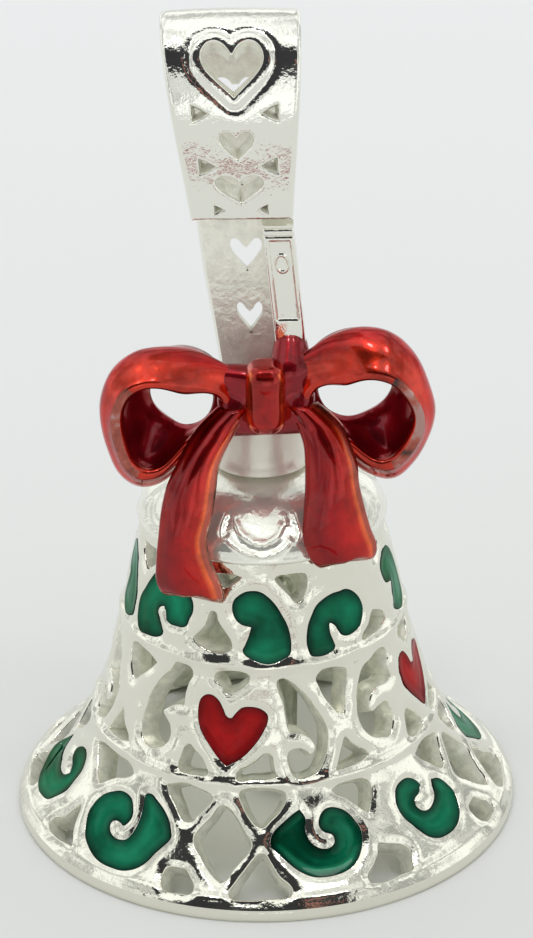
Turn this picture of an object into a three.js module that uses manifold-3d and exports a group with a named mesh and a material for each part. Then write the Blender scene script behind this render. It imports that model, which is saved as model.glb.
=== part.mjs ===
// Openwork bell ornament: cast silver bell with enamel fills, an enamelled bow, a strap bail and a clapper.
// Millimetres, +Z up. Origin: centre of the rim's foot, at the bottom. The front faces -Y.

import * as THREE from 'three';
import { mergeVertices } from 'three/addons/utils/BufferGeometryUtils.js';
import Module from 'manifold-3d';

const wasm = await Module();
wasm.setup();

// ---- Driving dimensions -------------------------------------------------------------------------

const RIM_RADIUS = 12.4;       // outer radius of the foot
const RIM_BAND_HEIGHT = 0.5;   // upright edge of the rim
const WALL = 1.2;              // thickness of the cast wall
const WALL_TOP = 15.7;         // where the openwork wall meets the cap
const CAP_TOP = 18.5;          // where the cap meets the neck
const NECK_RADIUS = 2.0;
const NECK_TOP = 21.2;
const SOLDER_GAP = 0.05;       // between pieces that are soldered face to face
const LATHE_SEGMENTS = 32;
const ROD_SEGMENTS = 24;

const CELL_DEPTH = 0.62;       // depth of the recess that holds the enamel
const ENAMEL_TOP = 0.1;        // the enamel's face lies this far below the metal
const ENAMEL_BOTTOM = 0.42;
const ENAMEL_INSET = 0.05;     // gap between enamel and cell wall
const CUT_MARGIN = 0.6;        // how far a cutter reaches past the wall
const OUTLINE_TOLERANCE = 0.12; // how far an outline may stray when it is thinned to few points

const RIBBON = 0.85;           // thickness of the bow's ribbon at its middle
const PIECE_GAP = 0.06;        // between the bow's pieces
const SADDLE = { left: -1.15, right: 2.3, front: -1.95, back: 1.0, bottom: NECK_TOP + SOLDER_GAP, top: 25.2 };
const KNOT = { left: -0.65, right: 1.25, front: -4.35, bottom: 21.75, top: 25.35, corner: 0.35 };

const STRAP_THICKNESS = 1.1;
const STRAP_LEAN = -0.044;     // sideways shift of the bail for each millimetre of height
const STRAP_LEAN_FROM = 16;    // height where that shift is nil
const STRAP_CUT = 5;           // reach of the cutters for its hearts and notches, front or back
const STRAP_CUT_START = 0.5;   // how far from the middle plane they start
const TONGUE = { width: 1.45, thickness: 0.95, bottom: SADDLE.top + PIECE_GAP };

const WIRE_RADIUS = 0.3;       // staple, link and clapper eye
const LINK_PLAY = 0.06;
const STAPLE_X = 0.4;
const STAPLE_PIVOT_Z = 15.1;
const STAPLE_HALF_WIDTH = 0.8;
const STAPLE_LEG = 1.15;
const LINK_RADIUS = 1.15;      // mean radius of the link
const EYE_RADIUS = 0.95;       // mean radius of the clapper's eye
const CLAPPER_RADIUS = 1.19;
const CLAPPER_BOTTOM = 3.3;
const CLAPPER_SHOULDER = 12.0;
const CLAPPER_CHAMFER = 0.25;

// Outside of the wall, [radius, height], from the foot up. It flares like a skirt.
const WALL_PROFILE = [
  [RIM_RADIUS, 0], [RIM_RADIUS, RIM_BAND_HEIGHT], [11.1, 1.75], [9.62, 3.45], [8.55, 5.3],
  [7.8, 7.5], [6.98, 10.7], [5.9, WALL_TOP],
];

// Outside of the cap and its hollow underside, [radius, height].
const CAP_PROFILE = [
  [6.0, WALL_TOP + SOLDER_GAP], [5.85, 16.3], [5.4, 16.9], [4.6, 17.5], [3.4, 18.1],
  [NECK_RADIUS, CAP_TOP], [0, CAP_TOP],
];
const CAP_HOLLOW = [[0, 17.2], [2.6, 17.05], [3.9, 16.6], [4.7, WALL_TOP + SOLDER_GAP]];

// ---- Pattern of the openwork: outlines as [degrees round the axis, height] ------------------------

// Windows of one quarter of the heart tier and the skirt. 0 degrees is the heart's centreline.
const QUARTER_WINDOWS = {
  above_heart: [
    [-7, 10.05], [-5.5, 10.45], [-1, 10.6], [6, 10.55], [8.5, 10.35], [7.5, 10], [4.5, 9.65],
    [0.5, 9.4], [-2, 9.4], [-4, 9.75],
  ],
  left_drop: [
    [-24.5, 10.4], [-20.5, 10.5], [-16.5, 10.4], [-15, 10.05], [-16.5, 9.6], [-17.5, 9],
    [-17.5, 8.45], [-21.5, 8.35], [-26.5, 7.9], [-22.5, 7.4], [-21.5, 6.95], [-22, 6.6],
    [-24, 6.25], [-27, 6], [-30, 5.95], [-33, 6.1], [-35.5, 6.4], [-36.5, 6.95], [-36, 7.6],
    [-35, 8.3], [-32.5, 9], [-29.5, 9.55], [-26.5, 9.95],
  ],
  left_of_tip: [
    [-15.5, 6.7], [-13.5, 6.8], [-11.5, 6.6], [-8.5, 6.3], [-6.5, 5.9], [-5.5, 5.6], [-6.5, 5.45],
    [-10, 5.4], [-15.5, 5.4], [-17.5, 5.6], [-17, 6.1],
  ],
  right_drop: [
    [18, 10.1], [20.5, 10.25], [23.5, 10.1], [26.5, 9.75], [29, 9.4], [31.5, 9], [33.5, 8.5],
    [35.5, 8], [36.5, 7.6], [36.5, 7.1], [35.5, 6.5], [34, 6.1], [31, 5.6], [28, 5.45], [24.5, 5.4],
    [22, 5.6], [21, 5.95], [20.5, 6.35], [21, 6.7], [23, 6.85], [26, 6.85], [28, 6.7], [29, 6.5],
    [30.5, 6.7], [29.5, 7.1], [27, 7.4], [23.5, 7.55], [22, 7.6], [21, 7.95], [20.5, 8.4],
    [20, 8.95], [18.5, 9.5],
  ],
  right_of_tip: [
    [3, 5.6], [4.5, 6], [7.5, 6.2], [10.5, 6.5], [13.5, 6.75], [16, 6.6], [16.5, 6.2], [17, 5.85],
    [18, 5.6], [15.5, 5.5], [9, 5.45], [4, 5.4],
  ],
  shield: [
    [33.5, 10], [36, 10.35], [40.5, 10.4], [44.5, 10.3], [47.5, 10.1], [48, 9.75], [47, 9.3],
    [45.5, 8.8], [45, 8.3], [43.5, 8], [41.5, 8.05], [38.5, 8.5], [36, 9], [34.5, 9.5],
  ],
  wedge: [
    [36.5, 5.5], [38.5, 6], [40.5, 6.6], [42, 7], [43, 6.95], [45, 6.6], [47.5, 6.3], [50.5, 5.95],
    [51, 5.75], [48, 5.6], [42, 5.5],
  ],
  diamond: [
    [-1, 4.35], [1.5, 4.35], [4.5, 4], [7.5, 3.4], [9.5, 2.95], [9, 2.65], [7, 2.3], [5, 1.95],
    [3.5, 1.6], [2, 1.5], [0.5, 1.6], [-2, 1.9], [-4.5, 2.3], [-7, 2.7], [-7.5, 3], [-6, 3.4],
    [-3.5, 3.85],
  ],
  left_quad: [
    [-20, 4.75], [-17.5, 4.9], [-13.5, 5.05], [-8.5, 4.95], [-4.5, 4.8], [-3, 4.6], [-4.5, 4.2],
    [-7, 3.8], [-8.5, 3.5], [-11.5, 3.45], [-13, 3.6], [-15.5, 4], [-18.5, 4.4],
  ],
  right_quad: [
    [4.5, 4.9], [6, 5.1], [11.5, 5.2], [17.5, 5.1], [20, 4.9], [19.5, 4.5], [17.5, 4.1], [15, 3.8],
    [12.5, 3.5], [10.5, 3.55], [8, 3.9], [6, 4.35],
  ],
  left_foot: [
    [-12.5, 1.75], [-9.5, 1.85], [-7.5, 1.85], [-5.5, 1.6], [-4, 1.3], [-4.5, 1], [-7, 0.95],
    [-11, 0.95], [-12.5, 1.15], [-13, 1.4],
  ],
  right_foot: [
    [4, 1.2], [5.5, 1.6], [7.5, 2], [9.5, 2.4], [11, 2.6], [13, 2.6], [14, 2.4], [16.5, 1.8],
    [19.5, 1.35], [19, 1.1], [13.5, 1], [8.5, 0.95], [5, 1],
  ],
  between_top: [
    [34, 4.75], [36.5, 4.95], [41.5, 5], [46.5, 4.9], [48.5, 4.55], [47.5, 4.1], [46, 3.7],
    [44.5, 3.45], [43, 3.6], [41, 3.9], [38.5, 4.25], [35.5, 4.5],
  ],
  between_foot: [
    [38, 1.1], [38, 1.4], [40.5, 1.7], [42.5, 2], [44, 2.35], [46.5, 2.25], [49.5, 2.1],
    [51.5, 1.9], [52, 1.65], [51, 1.35], [50, 1.1], [46, 1.05], [41, 1],
  ],
};

const HEART_CELL = [
  [1, 8.3], [2.5, 8.55], [5, 8.85], [8.5, 8.9], [12, 8.8], [14.5, 8.5], [14.5, 8.15], [13, 7.75],
  [10.5, 7.2], [6.5, 6.6], [2.5, 6.2], [0, 6], [-2.5, 6.3], [-6.5, 6.9], [-9.5, 7.4], [-11.5, 7.95],
  [-12, 8.5], [-11.5, 8.95], [-9.5, 9.25], [-6.5, 9.3], [-4, 9.1], [-2, 8.7], [-0.5, 8.35],
];

// The skirt's scrolls beside the lattice, each with a hooked rib that curls into it. Two are tighter.
const RIGHT_SCROLL = [
  [23.5, 4.2], [21.5, 4.05], [18.5, 3.75], [15.5, 3.4], [14.5, 3.15], [14.5, 2.85], [16.5, 2.55],
  [19, 2.2], [22, 1.85], [25, 1.65], [28.5, 1.6], [32.5, 1.65], [35.5, 1.8], [38.5, 2.2], [40, 2.6],
  [40.5, 3], [39.5, 3.4], [38, 3.75], [35.5, 4], [32.5, 4.1], [30.5, 4], [29, 3.75], [28.5, 3.45],
  [29.5, 3.2], [32, 3], [32, 2.75], [30.5, 2.6], [28.5, 2.6], [26.5, 2.75], [25, 3.05],
  [24.5, 3.45], [25, 3.8],
];
const LEFT_SCROLL = [
  [-26, 3.9], [-26, 4.05], [-24, 4.15], [-21.5, 4], [-18, 3.7], [-15.5, 3.35], [-14, 3],
  [-13.5, 2.75], [-15, 2.4], [-16.5, 2.1], [-18, 1.7], [-20, 1.4], [-23, 1.2], [-26, 1.15],
  [-29.5, 1.15], [-33, 1.25], [-36.5, 1.45], [-39, 1.65], [-41, 2], [-42.5, 2.45], [-42.5, 2.85],
  [-41, 3.25], [-37.5, 3.6], [-35, 3.75], [-32, 3.75], [-30, 3.65], [-28.5, 3.4], [-27.5, 3.05],
  [-28, 2.75], [-29, 2.6], [-30.5, 2.65], [-32, 2.65], [-33, 2.55], [-32.5, 2.3], [-31, 2.15],
  [-29, 2.1], [-26.5, 2.2], [-25.5, 2.45], [-25, 2.8], [-25, 3.25], [-25.5, 3.65],
];
const TIGHT_RIGHT_SCROLL = [
  [14, 3.45], [11, 2.95], [8.5, 2.5], [8, 2.15], [10, 1.9], [14, 1.65], [17.5, 1.45], [22, 1.35],
  [26, 1.4], [30, 1.55], [32, 1.85], [34, 2.35], [34.5, 2.9], [34.5, 3.4], [32.5, 3.8],
  [29.5, 3.95], [25.5, 3.8], [23.5, 3.5], [24.5, 3.2], [28, 3], [29.5, 2.8], [27.5, 2.55],
  [25, 2.5], [21, 2.6], [16.5, 2.8], [15, 3.1],
];
const TIGHT_LEFT_SCROLL = [
  [-18.5, 3.5], [-15, 3.3], [-13.5, 2.95], [-13, 2.55], [-14.5, 2.15], [-16, 1.9], [-19, 1.65],
  [-22.5, 1.55], [-25.5, 1.55], [-28, 1.6], [-30.5, 1.8], [-32, 2.1], [-33.5, 2.45], [-35, 2.85],
  [-35.5, 3.3], [-34.5, 3.7], [-33, 4], [-30, 4.15], [-27, 4.1], [-24.5, 3.85], [-23.5, 3.6],
  [-25.5, 3.35], [-28, 3.25], [-29, 3.05], [-28, 2.75], [-26, 2.65], [-23, 2.75], [-20.5, 3],
  [-19.5, 3.25],
];
const SCROLL_CELLS = [
  LEFT_SCROLL, RIGHT_SCROLL,
  TIGHT_LEFT_SCROLL, RIGHT_SCROLL,
  LEFT_SCROLL, RIGHT_SCROLL,
  LEFT_SCROLL, TIGHT_RIGHT_SCROLL,
];

// One pair of the upper band, about the upright rib between its two cells.
const PAIR_CELLS = {
  left: [
    [-20.5, 14.45], [-16.5, 14.4], [-12.5, 14.1], [-9.5, 13.7], [-7, 13.2], [-5, 12.7], [-4, 12.1],
    [-4, 11.7], [-4.5, 11.35], [-7.5, 11.1], [-10.5, 10.95], [-14, 10.9], [-17.5, 11],
    [-20.5, 11.15], [-24, 11.5], [-23, 11.85], [-21.5, 12.3], [-20.5, 12.7], [-24.5, 12.8],
    [-27, 13], [-28.5, 13.3], [-29, 13.7], [-28, 14], [-25.5, 14.25], [-23, 14.4],
  ],
  right: [
    [20.5, 13.85], [16.5, 13.85], [11.5, 13.7], [8.5, 13.5], [6, 13.1], [4, 12.7], [3, 12.3],
    [2.5, 11.8], [3, 11.4], [4, 11.1], [6.5, 11], [10.5, 11], [13.5, 11.1], [15, 11.25],
    [14.5, 11.6], [13.5, 12], [13.5, 12.5], [15.5, 12.35], [17, 12.05], [18.5, 11.75], [21.5, 11.6],
    [25.5, 11.65], [28.5, 11.8], [30.5, 12.1], [32, 12.55], [31.5, 13], [29.5, 13.4], [26.5, 13.7],
    [23.5, 13.85],
  ],
};
const PAIR_WINDOWS = {
  above_rib: [
    [-10.5, 15], [-9, 15.15], [-4, 15.2], [1.5, 15.2], [5, 15.1], [6, 14.85], [5, 14.3], [3, 13.85],
    [0.5, 13.7], [-2, 13.8], [-4, 14.1], [-7, 14.5], [-9.5, 14.8],
  ],
  shoulder: [
    [-38, 15.15], [-34, 15.2], [-28, 15.2], [-24.5, 15.1], [-25.5, 14.95], [-28.5, 14.7],
    [-31.5, 14.45], [-34, 14.45], [-36.5, 14.8],
  ],
  between_hooks: [
    [-39, 13.3], [-36, 13.3], [-34.5, 12.9], [-31, 12.4], [-28.5, 12], [-28, 11.6], [-29.5, 11.4],
    [-33.5, 11.3], [-39.5, 11.35], [-44.5, 11.6], [-46.5, 11.85], [-44.5, 12.1], [-41.5, 12.5],
    [-40, 13],
  ],
};

const CURLED_LEAF = [
  [11.5, 14.45], [6, 13.8], [2.5, 13.15], [-0.5, 12.5], [-0.5, 11.75], [1, 11.25], [3.5, 10.95],
  [9, 11], [16, 11.2], [19, 11.5], [18, 11.85], [16, 12.15], [14.5, 12.45], [15.5, 12.7],
  [17.5, 12.8], [18.5, 12.65], [19.5, 12.3], [21.5, 12.1], [25.5, 12.1], [29, 12.15], [31, 12.3],
  [32, 12.65], [33.5, 13.05], [33, 13.5], [29.5, 14], [25, 14.35], [19, 14.6],
];

// Windows that differ from the pattern, by quarter or by pair.
const NARROW_BETWEEN_FOOT = [
  [43, 2.5], [41.5, 2.15], [40, 1.7], [37.5, 1.4], [37, 1.15], [40, 1], [44.5, 1], [47.5, 1.05],
  [50, 1.1], [49, 1.3], [47, 1.55], [45.5, 1.85], [44.5, 2.25],
];
const OWN_WINDOWS = {
  between_foot_1: NARROW_BETWEEN_FOOT,
  between_foot_2: NARROW_BETWEEN_FOOT,
  between_foot_3: NARROW_BETWEEN_FOOT,
  between_top_3: [
    [34, 4.75], [37.5, 4.95], [43.5, 5], [49, 5], [53, 5], [56, 4.8], [57, 4.6], [55.5, 4.35],
    [51, 4.05], [47.5, 3.7], [45, 3.4], [41.5, 3.7], [37, 4.3],
  ],
  shield_3: [
    [39.5, 10.25], [48.5, 10.35], [55.5, 10.15], [57.5, 10], [53.5, 9.45], [48.5, 8.85], [45, 8.55],
    [42, 8.85], [39.5, 9.35], [38, 9.9],
  ],
  left_drop_1: [
    [-18.5, 10.25], [-16.5, 9.8], [-18, 9.3], [-17, 8.65], [-21, 8.5], [-26.5, 8.55], [-30.5, 8.3],
    [-32, 7.8], [-31.5, 7.65], [-28, 7.8], [-24, 7.8], [-22, 7.35], [-21.5, 6.8], [-23, 6.45],
    [-26, 6.1], [-30, 6.2], [-34, 6.45], [-37, 6.9], [-38.5, 7.5], [-38.5, 8.1], [-37.5, 8.75],
    [-35.5, 9.35], [-32.5, 9.9], [-27.5, 10.1], [-23.5, 10.3],
  ],
  between_hooks_1: [
    [-38.5, 12.2], [-32.5, 11.75], [-31.5, 11.4], [-36.5, 11.1], [-44, 11.05], [-49.5, 11.05],
    [-50, 11.2], [-45, 11.7], [-41, 12.25],
  ],
  above_rib_3: [
    [-8, 15.15], [0, 15.2], [7.5, 15.2], [10.5, 15.05], [11, 14.85], [7, 14.4], [1, 13.85],
    [-3, 14.25], [-7, 14.65],
  ],
};

const HEART_ANGLES = [-13.5, 74, 165, 256];    // centrelines of the four hearts
const SKIRT_ANGLES = [-13.5, 76, 166.5, 256.5]; // centrelines of the lattice under each
const PAIR_ANGLES = [15.2, 93.5, 196, 295];    // upright ribs of the upper band
const CURLED_LEAF_PAIR = 3;                    // pair whose right cell is the curled leaf
const WIDE_GAP_PAIRS = [1, 2];                 // pairs with room for a second window on their right
const HEART_TIER = [
  'above_heart', 'left_drop', 'left_of_tip', 'right_drop', 'right_of_tip', 'shield', 'wedge',
];

// ---- Bow and bail ---------------------------------------------------------------------------------

// Stations round each loop from the knot over the top: crown's x and height, how far the front edge lies
// inside the crown, and how far out the station is, from 0 at the knot to 1. The back edge is an oval.
const LEFT_LOOP = {
  centre: [-4.2, 22.3],
  backOval: { x: -3.7, z: 22.72, halfWidth: 2.33, halfHeight: 2.42 },
  stations: [
    [-1, 24.1, 0.3, 0], [-2, 24.7, 0.5, 0.25], [-3.1, 25.05, 0.65, 0.5], [-4.5, 25.45, 0.8, 0.75],
    [-5.8, 25.4, 0.75, 0.9], [-6.85, 24.65, 0.55, 1], [-7.4, 23.4, 0.45, 1],
    [-7.48, 22.2, 0.45, 1], [-7.2, 20.75, 0.5, 1], [-6.6, 19.35, 0.6, 1], [-5.7, 18.68, 0.8, 0.95],
    [-4.8, 18.75, 0.85, 0.85], [-3.7, 19.5, 0.7, 0.6], [-2.5, 20.5, 0.5, 0.35],
    [-1.3, 21.5, 0.3, 0], [-0.85, 22.8, 0.3, 0],
  ],
};
const RIGHT_LOOP = {
  centre: [4.9, 22.7],
  backOval: { x: 4.5, z: 23.2, halfWidth: 2.62, halfHeight: 2.66 },
  stations: [
    [1.6, 24.5, 0.4, 0], [2.5, 25.2, 0.8, 0.25], [3.7, 25.9, 1.1, 0.55], [4.9, 26.25, 1.2, 0.8],
    [6.2, 26.05, 1.1, 0.95], [7.3, 25.05, 0.75, 1], [7.95, 23.6, 0.5, 1], [8.2, 22.4, 0.42, 1],
    [7.9, 21.1, 0.5, 1], [7.15, 19.7, 0.7, 1], [6.2, 18.87, 0.9, 0.95], [5.1, 19.05, 0.9, 0.85],
    [3.9, 19.85, 0.7, 0.6], [2.7, 20.8, 0.5, 0.35], [1.7, 21.6, 0.3, 0], [1.45, 23, 0.3, 0],
  ],
};
const LOOP_FRONT = { near: -3.0, far: -4.3 };  // y of the front edge at the knot and far out
const LOOP_BACK = { near: -2.05, far: -1.35 };
const LOOP_EDGE = 0.7;         // thickness at the ribbon's edges

// Centre of each tail, its width and the way its face turns from straight ahead: [x, y, z, width, degrees].
const LEFT_TAIL = [
  [-1.3, -3.45, 22.4, 1.0, -8], [-2.2, -4.2, 21.5, 1.35, -10], [-3.05, -4.95, 20.3, 1.6, -12],
  [-3.4, -5.6, 19.0, 2.05, -14], [-3.5, -6.05, 17.5, 2.45, -16], [-3.5, -6.3, 15.9, 2.8, -18],
  [-3.4, -6.4, 13.85, 3.05, -20],
];
const RIGHT_TAIL = [
  [1.95, -3.45, 22.4, 1.0, 8], [2.65, -4.15, 21.5, 1.5, 10], [3.1, -4.8, 20.3, 1.9, 12],
  [3.3, -5.25, 18.95, 2.25, 16], [3.5, -5.5, 17.3, 2.65, 20], [3.75, -5.62, 15.25, 3.0, 24],
];

// Outer face of the strap from its front end, over the top and down the back: [y, z, width].
const STRAP_PATH = [
  [-2.95, 31.8, 4.7], [-3.2, 33.4, 5.0], [-3.3, 35.2, 5.4], [-3.22, 37.0, 5.8], [-2.75, 38.7, 6.15],
  [-2.05, 40.0, 6.35], [-1.0, 40.85, 6.45], [0.15, 41.1, 6.45], [1.3, 40.75, 6.4], [2.25, 39.8, 6.3],
  [3.0, 38.3, 6.1], [3.37, 36.5, 5.8], [3.4, 34.5, 5.4], [3.2, 32.2, 4.95], [2.8, 29.8, 4.55],
  [2.4, 27.4, 4.15], [2.2, 25.0, 3.6], [2.15, 22.8, 3.2], [2.15, 21.26, 3.0],
];

// Hearts through the strap: [middle height, width, height, front or back].
const STRAP_HEARTS = [
  [39.15, 2.9, 2.4, -1], [35.75, 1.65, 1.5, -1], [33.6, 2.3, 1.5, -1],
  [36.4, 2.3, 2.2, 1], [32.4, 2.1, 2.0, 1], [28.3, 1.9, 1.9, 1], [25.3, 1.6, 1.9, 1],
];
// Small openings beside the hearts: [height, distance from the centreline, size].
const STRAP_NOTCHES = [[37.3, 1.6, 1.15], [34.75, 1.4, 1.2], [32.55, 1.0, 0.75]];

// ---- Materials ----------------------------------------------------------------------------------

function finish(color, roughness, metalness) {
  return new THREE.MeshStandardMaterial({ color, roughness, metalness });
}

const silver = () => finish(0xdfe0d6, 0.16, 1.0);
const greenEnamel = () => finish(0x0b5c3a, 0.08, 0.0);
const redEnamel = () => finish(0xa01518, 0.08, 0.0);

const bell = new THREE.Group();

function addPiece(name, geometry, material) {
  const mesh = new THREE.Mesh(geometry, material);
  mesh.name = name;
  bell.add(mesh);
  return mesh;
}

// ---- Solids -------------------------------------------------------------------------------------

function toSolid(geometry) {
  const bare = geometry.clone();
  bare.deleteAttribute('normal');
  bare.deleteAttribute('uv');
  const merged = mergeVertices(bare, 1e-4);
  return new wasm.Manifold(new wasm.Mesh({
    numProp: 3,
    vertProperties: new Float32Array(merged.attributes.position.array),
    triVerts: new Uint32Array(merged.index.array),
  }));
}

function toGeometry(solid) {
  const mesh = solid.getMesh();
  const geometry = new THREE.BufferGeometry();
  geometry.setAttribute('position', new THREE.BufferAttribute(new Float32Array(mesh.vertProperties), 3));
  geometry.setIndex(new THREE.BufferAttribute(new Uint32Array(mesh.triVerts), 1));
  geometry.computeVertexNormals();
  return geometry;
}

function fromTriangles(points, faces) {
  const geometry = new THREE.BufferGeometry().setFromPoints(points);
  geometry.setIndex(faces.flat());
  geometry.computeVertexNormals();
  return geometry;
}

// A solid of revolution about Z from a [radius, height] profile.
function turned(profile, segments = LATHE_SEGMENTS) {
  const points = profile.map(([r, z]) => new THREE.Vector2(r, z));
  return new THREE.LatheGeometry(points, segments).rotateX(Math.PI / 2);
}

// Joins rings of equal length, one after the other. Open runs get flat fans at both ends.
function loft(rings, closed) {
  const count = rings[0].length;
  const points = rings.flat();
  const faces = [];
  const last = closed ? rings.length : rings.length - 1;
  for (let i = 0; i < last; i += 1) {
    const a = i * count;
    const b = ((i + 1) % rings.length) * count;
    for (let j = 0; j < count; j += 1) {
      const k = (j + 1) % count;
      faces.push([a + j, b + j, b + k], [a + j, b + k, a + k]);
    }
  }
  if (!closed) {
    const end = (rings.length - 1) * count;
    for (let j = 1; j < count - 1; j += 1) {
      faces.push([0, j, j + 1], [end, end + j + 1, end + j]);
    }
  }
  return fromTriangles(points, faces);
}

// ---- The bell's wall ----------------------------------------------------------------------------

// Radius and outward normal of the wall at a height.
function wallAt(height) {
  let i = 1;
  while (i < WALL_PROFILE.length - 2 && WALL_PROFILE[i + 1][1] < height) {
    i += 1;
  }
  const [r0, z0] = WALL_PROFILE[i];
  const [r1, z1] = WALL_PROFILE[i + 1];
  const length = Math.hypot(r1 - r0, z1 - z0);
  return {
    radius: r0 + ((r1 - r0) * (height - z0)) / (z1 - z0),
    out: (z1 - z0) / length,
    up: (r0 - r1) / length,
  };
}

// A point at a given distance above the wall's outside.
function onWall([degrees, height], lift) {
  const { radius, out, up } = wallAt(height);
  const turn = THREE.MathUtils.degToRad(degrees);
  const r = radius + out * lift;
  return new THREE.Vector3(r * Math.sin(turn), -r * Math.cos(turn), height + up * lift);
}

// The outline laid flat in millimetres.
function flat([degrees, height]) {
  return new THREE.Vector2(THREE.MathUtils.degToRad(degrees) * wallAt(height).radius, height * 1.15);
}

// Drops points that lie close to the chord between their neighbours.
function thinned(outline) {
  const kept = outline.slice();
  for (let i = 0; i < kept.length && kept.length > 5;) {
    const before = flat(kept[(i + kept.length - 1) % kept.length]);
    const after = flat(kept[(i + 1) % kept.length]);
    const chord = after.clone().sub(before);
    const offset = Math.abs(flat(kept[i]).sub(before).cross(chord)) / chord.length();
    if (offset < OUTLINE_TOLERANCE) {
      kept.splice(i, 1);
    }
    i += 1;
  }
  return kept;
}

// Moves every point of the outline inwards by a distance in millimetres.
function inset(outline, distance) {
  const plane = outline.map(flat);
  const sign = THREE.ShapeUtils.isClockWise(plane) ? -1 : 1;
  return outline.map(([degrees, height], i) => {
    const before = plane[(i + plane.length - 1) % plane.length];
    const after = plane[(i + 1) % plane.length];
    const a = plane[i].clone().sub(before).normalize();
    const b = after.clone().sub(plane[i]).normalize();
    const normal = new THREE.Vector2(-(a.y + b.y), a.x + b.x);
    const spread = Math.max(0.5, normal.length() / 2);
    normal.normalize().multiplyScalar((sign * distance) / spread);
    const perDegree = THREE.MathUtils.degToRad(1) * wallAt(height).radius;
    return [degrees + normal.x / perDegree, height + normal.y / 1.15];
  });
}

const mirrored = (outline) => outline.map(([degrees, height]) => [-degrees, height]).reverse();

// A closed block over an outline on the wall, turned round the axis, between two distances from the outside.
function block({ outline, angle }, inner, outer) {
  const ordered = THREE.ShapeUtils.isClockWise(outline.map(flat)) ? outline.slice().reverse() : outline;
  const n = ordered.length;
  const turnedOutline = ordered.map(([degrees, height]) => [degrees + angle, height]);
  const points = [outer, inner].flatMap((lift) => turnedOutline.map((p) => onWall(p, lift)));
  const caps = THREE.ShapeUtils.triangulateShape(ordered.map(flat), []);
  const faces = caps.flatMap(([a, b, c]) => [[a, b, c], [n + a, n + c, n + b]]);
  for (let i = 0; i < n; i += 1) {
    const j = (i + 1) % n;
    faces.push([i, n + i, n + j], [i, n + j, j]);
  }
  return fromTriangles(points, faces);
}

const windows = [];
SKIRT_ANGLES.forEach((skirtAngle, quarter) => {
  Object.entries(QUARTER_WINDOWS).forEach(([name, outline]) => {
    const angle = HEART_TIER.includes(name) ? HEART_ANGLES[quarter] : skirtAngle;
    windows.push({ outline: thinned(OWN_WINDOWS[`${name}_${quarter}`] ?? outline), angle });
  });
});
PAIR_ANGLES.forEach((angle, pair) => {
  Object.entries(PAIR_WINDOWS).forEach(([name, outline]) => {
    windows.push({ outline: thinned(OWN_WINDOWS[`${name}_${pair}`] ?? outline), angle });
  });
  if (WIDE_GAP_PAIRS.includes(pair)) {
    windows.push({ outline: mirrored(thinned(PAIR_WINDOWS.shoulder)), angle });
    windows.push({ outline: mirrored(thinned(PAIR_WINDOWS.between_hooks)), angle: angle + 3 });
  }
});

const cell = (name, outline, angle, enamel) => ({ name, outline: thinned(outline), angle, enamel });
const cells = [
  ...HEART_ANGLES.map((angle, i) => cell(`heart_enamel_${i + 1}`, HEART_CELL, angle, redEnamel)),
  ...SCROLL_CELLS.map((outline, i) => (
    cell(`skirt_enamel_${i + 1}`, outline, SKIRT_ANGLES[Math.floor(i / 2)], greenEnamel)
  )),
  ...PAIR_ANGLES.flatMap((angle, i) => {
    const rightLeaf = i === CURLED_LEAF_PAIR ? CURLED_LEAF : PAIR_CELLS.right;
    return [
      cell(`upper_enamel_${2 * i + 1}`, PAIR_CELLS.left, angle, greenEnamel),
      cell(`upper_enamel_${2 * i + 2}`, rightLeaf, angle, greenEnamel),
    ];
  }),
];

const INSIDE_HEIGHTS = [WALL_TOP, 10.7, 7.5, 5.3, 3.45, 1.6];
const wallInside = INSIDE_HEIGHTS.map((height) => {
  const { radius, out } = wallAt(height);
  return [radius - WALL / out, height];
});
const wallProfile = [...WALL_PROFILE, ...wallInside, [RIM_RADIUS - WALL, 0], WALL_PROFILE[0]];
let wall = toSolid(turned(wallProfile));
windows.forEach((opening) => {
  wall = wall.subtract(toSolid(block(opening, -WALL - CUT_MARGIN, CUT_MARGIN)));
});
cells.forEach((recess) => {
  wall = wall.subtract(toSolid(block(recess, -CELL_DEPTH, CUT_MARGIN)));
});
addPiece('bell_wall', toGeometry(wall), silver());

cells.forEach(({ name, outline, angle, enamel }) => {
  const fill = { outline: inset(outline, ENAMEL_INSET), angle };
  addPiece(name, block(fill, -ENAMEL_BOTTOM, -ENAMEL_TOP), enamel());
});

// ---- Cap and neck -------------------------------------------------------------------------------

addPiece('cap', turned([...CAP_HOLLOW, ...CAP_PROFILE]), silver());
const neckFoot = CAP_TOP + SOLDER_GAP;
const neckProfile = [[0, neckFoot], [NECK_RADIUS, neckFoot], [NECK_RADIUS, NECK_TOP], [0, NECK_TOP]];
addPiece('neck', turned(neckProfile, ROD_SEGMENTS), silver());

// ---- Bow ----------------------------------------------------------------------------------------

const vector = (x, y, z) => new THREE.Vector3(x, y, z);

// An upright block with rounded vertical corners.
function roundedBlock({ left, right, front, back, bottom, top, corner }) {
  const shape = new THREE.Shape();
  shape.moveTo(left + corner, front);
  shape.lineTo(right - corner, front);
  shape.quadraticCurveTo(right, front, right, front + corner);
  shape.lineTo(right, back);
  shape.lineTo(left, back);
  shape.lineTo(left, front + corner);
  shape.quadraticCurveTo(left, front, left + corner, front);
  return new THREE.ExtrudeGeometry(shape, { depth: top - bottom, bevelEnabled: false, curveSegments: 4 })
    .translate(0, 0, bottom);
}

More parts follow.
